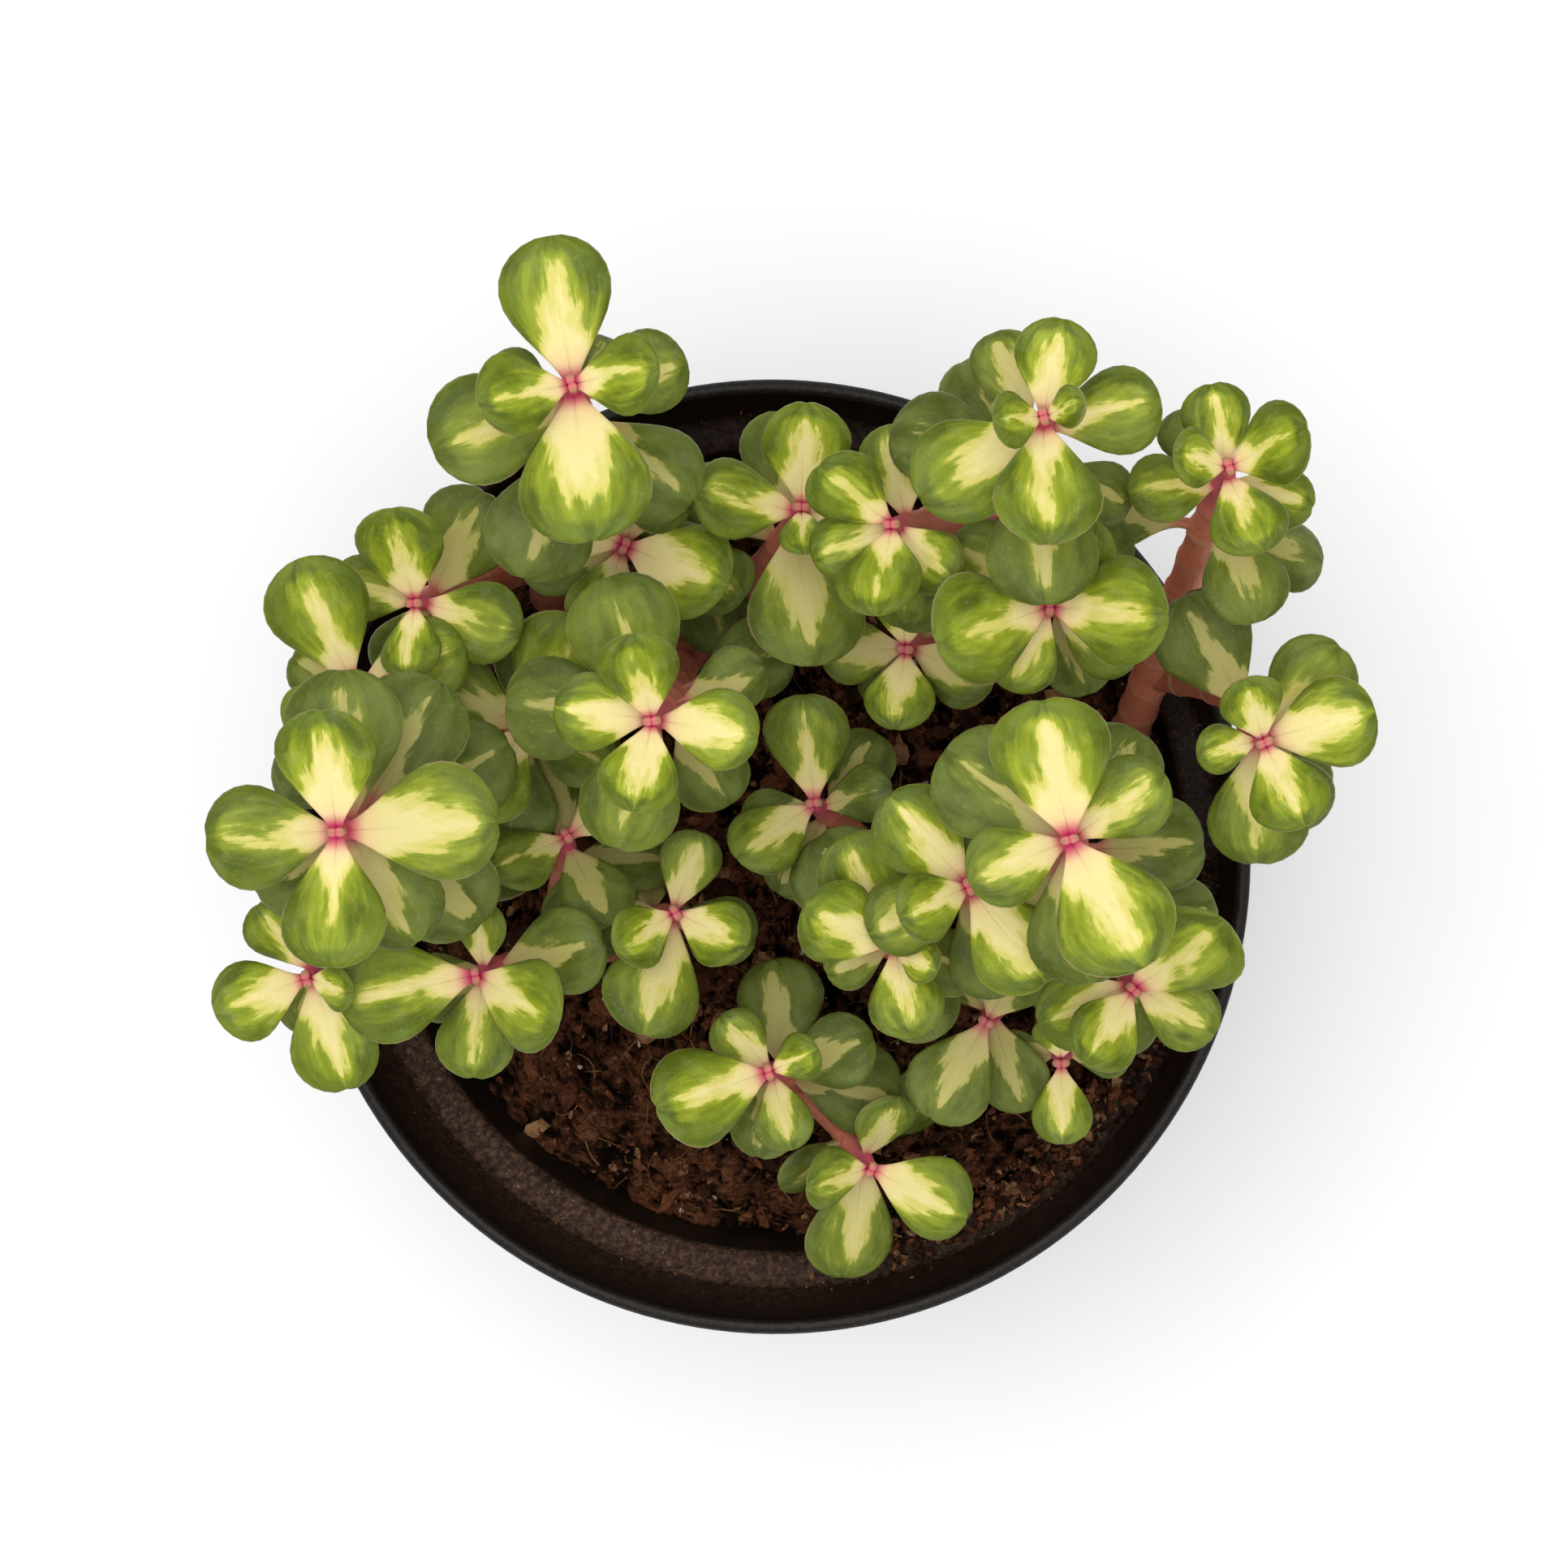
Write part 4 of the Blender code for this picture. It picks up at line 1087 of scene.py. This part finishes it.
BARE_NODE_PITCH = 6.2
NODE_REACH = 0.75
NODE_SWELL = 0.24
NODE_SLEEVE = 1.3
BUD_NECK_RADIUS = 0.62
# The two smallest leaves, still closed round the bud: length, rise and how far their colours have opened.
BUD_LEAF = (1.25, math.radians(66), 0.07)
BLADE_RINGS = 15
BLADE_SIDES = 20
# A blade is this much of its solid leaf's length, so that its waves stay inside the model's box.
BLADE_REACH = 0.97
# An obovate blade, for blade_profile: a wedge from the base, then a broad end.
BLADE_WIDTH = (0.65, 0.13, 1.55, 2.1)
BLADE_DEPTH = (0.62, 0.62, 1, 3.2)


def add_tube(shape, rings, look, sides=14):
    """Adds a closed tube of this material number through (centre, direction, radius, mark) rings."""
    points, faces = tube([row[:3] for row in rings], sides)
    marks = [(*mark, s) for *_, mark in rings for _, s in circle(sides)]
    shape.add(points, faces, look, stem_place=marks)


def node_drops(shoot):
    """Distances below the tip of every node: those that carry leaves, then bare ones down to the soil."""
    drops = list(PAIR_DROP[:len(shoot.pairs)])
    while drops[-1] < shoot.path.length:
        drops.append(drops[-1] + BARE_NODE_PITCH)
    return drops


def stem_rings(shoot, low, high, radius_at, pitch=0.9):
    """Rings for add_tube from low to high below the tip, a little uneven and swollen at every node."""
    drops = node_drops(shoot)
    count = max(int((low - high) / pitch), 6)
    grown = max(shoot.path.length, 30.0)
    rings = []
    for i in range(count + 1):
        below = low + (high - low) * i / count
        centre, way = shoot.path.at(below)
        near = min(abs(below - drop) for drop in drops)
        swell = math.exp(-(near / NODE_REACH) ** 2)
        wobble = 1 + 0.05 * noise.noise(centre * 0.35)
        radius = radius_at(below) * wobble + NODE_SWELL * swell * smooth_step(3, 8, below)
        rings.append((centre, way, radius, (below / grown, swell * smooth_step(8, 14, below))))
    return rings


def crown_radius(below, length):
    """Thickness of the soft growing tip, from the neck at its foot to the bud."""
    share = min(max(below / length, 0.0), 1.0)
    return BUD_NECK_RADIUS + (NECK_RADIUS - BUD_NECK_RADIUS) * share ** 0.7


def blade_profile(share, widest, foot, swell, blunt):
    """From foot at the base to 1 at the widest share, then a round end."""
    if share < widest:
        return foot + (1 - foot) * math.sin(math.pi / 2 * max(share, 0) / widest) ** swell
    return math.sqrt(max(0.0, 1 - ((share - widest) / (1 - widest)) ** blunt))


def add_blade(shape, leaf, age, name, stalk=0.0, painted=1.0):
    """One fleshy leaf, a little uneven, cupped and waved by its own chance.

    stalk runs the foot back by that much, and painted is how far along its colours the tip is."""
    chance = random.Random(name)
    (along, normal, across), (half_width, half_thick) = leaf_frame(leaf)
    length = BLADE_REACH * leaf.length
    first, second = chance.random(), chance.random()
    lopside, wave = chance.uniform(-0.06, 0.06), chance.uniform(0.0, 0.035)
    cup = chance.uniform(-0.10, 0.16) + 0.08 * (0.5 - age)
    fold, phase, notch = chance.uniform(0.25, 0.55), chance.uniform(0, 6.28), chance.uniform(0.0, 0.022)
    twist, slim = chance.uniform(-0.10, 0.10), chance.uniform(0.91, 1.0)
    points, place = [], []
    shares = [0.5 - 0.5 * math.cos(math.pi * k / BLADE_RINGS) for k in range(BLADE_RINGS)]
    if stalk:
        shares.insert(0, -stalk / length)
    for share in shares:
        sag = leaf.droop * length * max(share, 0.0) ** 2
        centre = leaf.origin + along * share * length - normal * sag
        wide = half_width * slim * blade_profile(share, *BLADE_WIDTH)
        deep = half_thick * 0.82 * blade_profile(share, *BLADE_DEPTH)
        turn = twist * max(share, 0.0)
        side = across * math.cos(turn) + normal * math.sin(turn)
        up = normal * math.cos(turn) - across * math.sin(turn)
        bowl = cup * smooth_step(0.1, 0.6, share) + fold * smooth_step(0.42, 0.0, share)
        for c, s in circle(BLADE_SIDES):
            v = math.copysign(abs(c) ** 0.9, c)
            thick = math.copysign(abs(s) ** 0.8, s)
            ripple = wave * half_width * abs(v) ** 3 * math.sin(7.0 * share + phase + 1.7 * (v > 0))
            dip = notch * length * smooth_step(0.8, 1.0, share) * math.exp(-(v / 0.35) ** 2)
            groove = 0.14 * math.exp(-(v / 0.16) ** 2) * smooth_step(0.8, 0.2, share) if s > 0 else 0.0
            local = side * wide * v * (1 + lopside * math.copysign(1, c))
            local += up * (deep * thick - groove + bowl * wide * v * v + ripple) - along * dip
            points.append(centre + local)
            place.append((max(share, 0.0) * painted, v, s))
    faces = [tuple(reversed(range(BLADE_SIDES)))] + side_faces(len(shares), BLADE_SIDES)
    faces += fan(len(points) - BLADE_SIDES, BLADE_SIDES)
    points.append(leaf.origin + along * length * (1 - notch) - normal * leaf.droop * length)
    place.append((painted, 0.0, 0.0))
    shape.add(points, faces, 0, leaf_place=place, leaf_self=[(age, first, second)] * len(points))


def leaf_age_with_painted_shade(shoot, level):
    """0 for a pair that is just opening, 1 for the oldest; pairs low in the plant, most of all on slow
    shoots, are raised further as painted shade, so their colours dull.
    """
    height = shoot.path.at(PAIR_DROP[level])[0].z - POT_HEIGHT
    # Painted shade: the lower a pair stands under the crowns, the further its colours move towards the dull
    # old ones.
    shade = smooth_step(32, 4, height) * (0.35 + 0.6 * max(shoot.age - 1.0, 0.0))
    return min(1.0, 0.26 * max(shoot.age + level - 0.9, 0.0) + shade)


def add_pair(shape, shoot, level, leaves, stalk=0.0):
    for side in range(2):
        leaf = leaves[shoot.name, level, side]
        add_blade(shape, leaf, leaf_age_with_painted_shade(shoot, level), f"{shoot.name} {level} {side}", stalk)


def make_crown(shoot, leaves, looks):
    shape = Shape("leaf_place", "leaf_self", "stem_place")
    neck = shoot.crown_length
    add_tube(shape, stem_rings(shoot, neck + 0.4, 0.7, lambda below: crown_radius(below, neck), 0.7), 1)
    for level in range(shoot.crown_pairs):
        add_pair(shape, shoot, level, leaves)
    length, rise, painted = BUD_LEAF
    tip, way = shoot.path.at(0.5)
    angle = math.radians(shoot.pairs[0][0] + 90)
    across = Vector((math.cos(angle), math.sin(angle), 0))
    for side in range(2):
        out = (across - way * across.dot(way)).normalized() * (1 - 2 * side)
        bud = Leaf(tip + out * 0.1, way, out, rise, length, 0.0)
        add_blade(shape, bud, 0.0, f"{shoot.name} bud {side}", painted=painted)
    shape.piece(f"rosette_{shoot.name}", looks, "young_leaf", f"crown_{shoot.name}")


def make_lower_pair(shoot, level, leaves, looks):
    shape = Shape("leaf_place", "leaf_self", "stem_place")
    below = PAIR_DROP[level]
    low, high = below + NODE_SLEEVE, below - NODE_SLEEVE
    add_tube(shape, stem_rings(shoot, low, high, lambda place: shoot.radius(place) + 0.12, 0.3), 1)
    add_pair(shape, shoot, level, leaves, shoot.leaf_start(level) - shoot.radius(below) * 0.55)
    number = level - shoot.crown_pairs + 1
    shape.piece(f"leaf_pair_{shoot.name}_{number}", looks, "old_leaf", f"leaves_{shoot.name}_{number}")


def make_plant():
    trunks, shoots = {}, []
    for row in sorted(SHOOTS, key=lambda row: row[2] > 0):
        shoot = Shoot(row, trunks)
        if shoot.trunk:
            trunks[shoot.cutting] = shoot
        shoots.append(shoot)
    shoots.sort(key=lambda shoot: -shoot.path.points[-1].z)
    fixed = [Obstacle(turned(pot_profile(), POT_STEPS)), Obstacle(soil_shape())]
    for shoot in shoots:
        fixed.append(Obstacle(shoot.stem()))
        fixed.append(Obstacle(shoot.tip(), shoot.name))
        for level in range(shoot.crown_pairs, len(shoot.pairs)):
            fixed.append(Obstacle(shoot.clasp(level), shoot.name))
    leaves = grow(shoots, fixed)

    looks = [leaf_look(), stem_look()]
    for cutting in CUTTINGS:
        shape = Shape("stem_place")
        for shoot in shoots:
            if shoot.cutting == cutting:
                rings = stem_rings(shoot, shoot.path.length, shoot.crown_length - 0.2, shoot.radius)
                add_tube(shape, rings, 0)
        shape.piece(f"cutting_{cutting}", looks[1:], "stem", f"stem_{cutting}")
    for shoot in shoots:
        make_crown(shoot, leaves, looks)
        for level in range(shoot.crown_pairs, len(shoot.pairs)):
            make_lower_pair(shoot, level, leaves, looks)


# ---------------------------------------------------------------- studio, in metres

FLOOR_REACH = 4.0
SKY_LIGHT = 0.66
# Lamps that face the rim: name, place, size, power.
LAMPS = (("key", (-0.1, 0.14, 1.1), 0.8, 6.6), ("fill", (0.3, -0.2, 1.0), 0.8, 1.6))
CAMERA_DISTANCE = 0.55
CAMERA_TIPS = (math.radians(4), math.radians(2))
CAMERA_AIM = Vector((1.5, 8.2, POT_HEIGHT)) * MM
SENSOR_MM = 36.0
LENS_MM = 115.2


def make_studio():
    look = Look("studio_floor", Roughness=0.9)
    shade = look.mix(look.noise(look.place(), 60.0, 3.0), (0.97, 0.97, 0.97, 1), (0.99, 0.99, 0.99, 1))
    mesh = bpy.data.meshes.new("studio_floor")
    corners = ((-1, -1), (1, -1), (1, 1), (-1, 1))
    mesh.from_pydata([(FLOOR_REACH * x, FLOOR_REACH * y, 0) for x, y in corners], [], [(0, 1, 2, 3)])
    mesh.materials.append(look.finish(shade))
    add_object("studio_floor", mesh)

    world = bpy.data.worlds.new("studio")
    world.use_nodes = True
    background = world.node_tree.nodes["Background"]
    background.inputs["Color"].default_value = (1, 1, 1, 1)
    background.inputs["Strength"].default_value = SKY_LIGHT
    bpy.context.scene.world = world
    target = Vector((0, 0, POT_HEIGHT * MM))
    for name, place, size, power in LAMPS:
        lamp = bpy.data.lights.new(name, "AREA")
        lamp.size, lamp.energy = size, power
        made = add_object(name, lamp)
        made.location = place
        made.rotation_euler = (Vector(place) - target).to_track_quat("Z", "Y").to_euler()


def make_camera():
    """Almost straight down from above the rim, tipped a few degrees towards the east and north."""
    tip_east, tip_north = CAMERA_TIPS
    back = Vector((math.tan(tip_east), math.tan(tip_north), 1)).normalized()
    right = Vector((0, 1, 0)).cross(back).normalized()
    above = back.cross(right)
    lens = bpy.data.cameras.new("camera")
    lens.sensor_width, lens.lens = SENSOR_MM, LENS_MM
    lens.clip_start = 0.01
    camera = add_object("camera", lens)
    turn = Matrix((right, above, back)).transposed().to_4x4()
    camera.matrix_world = Matrix.Translation(CAMERA_AIM + back * CAMERA_DISTANCE) @ turn
    bpy.context.scene.camera = camera


make_pot()
make_soil_bed()
make_soil_bits()
make_plant()
make_studio()
make_camera()
bpy.context.scene.view_settings.view_transform = "Standard"

bpy.context.view_layer.update()
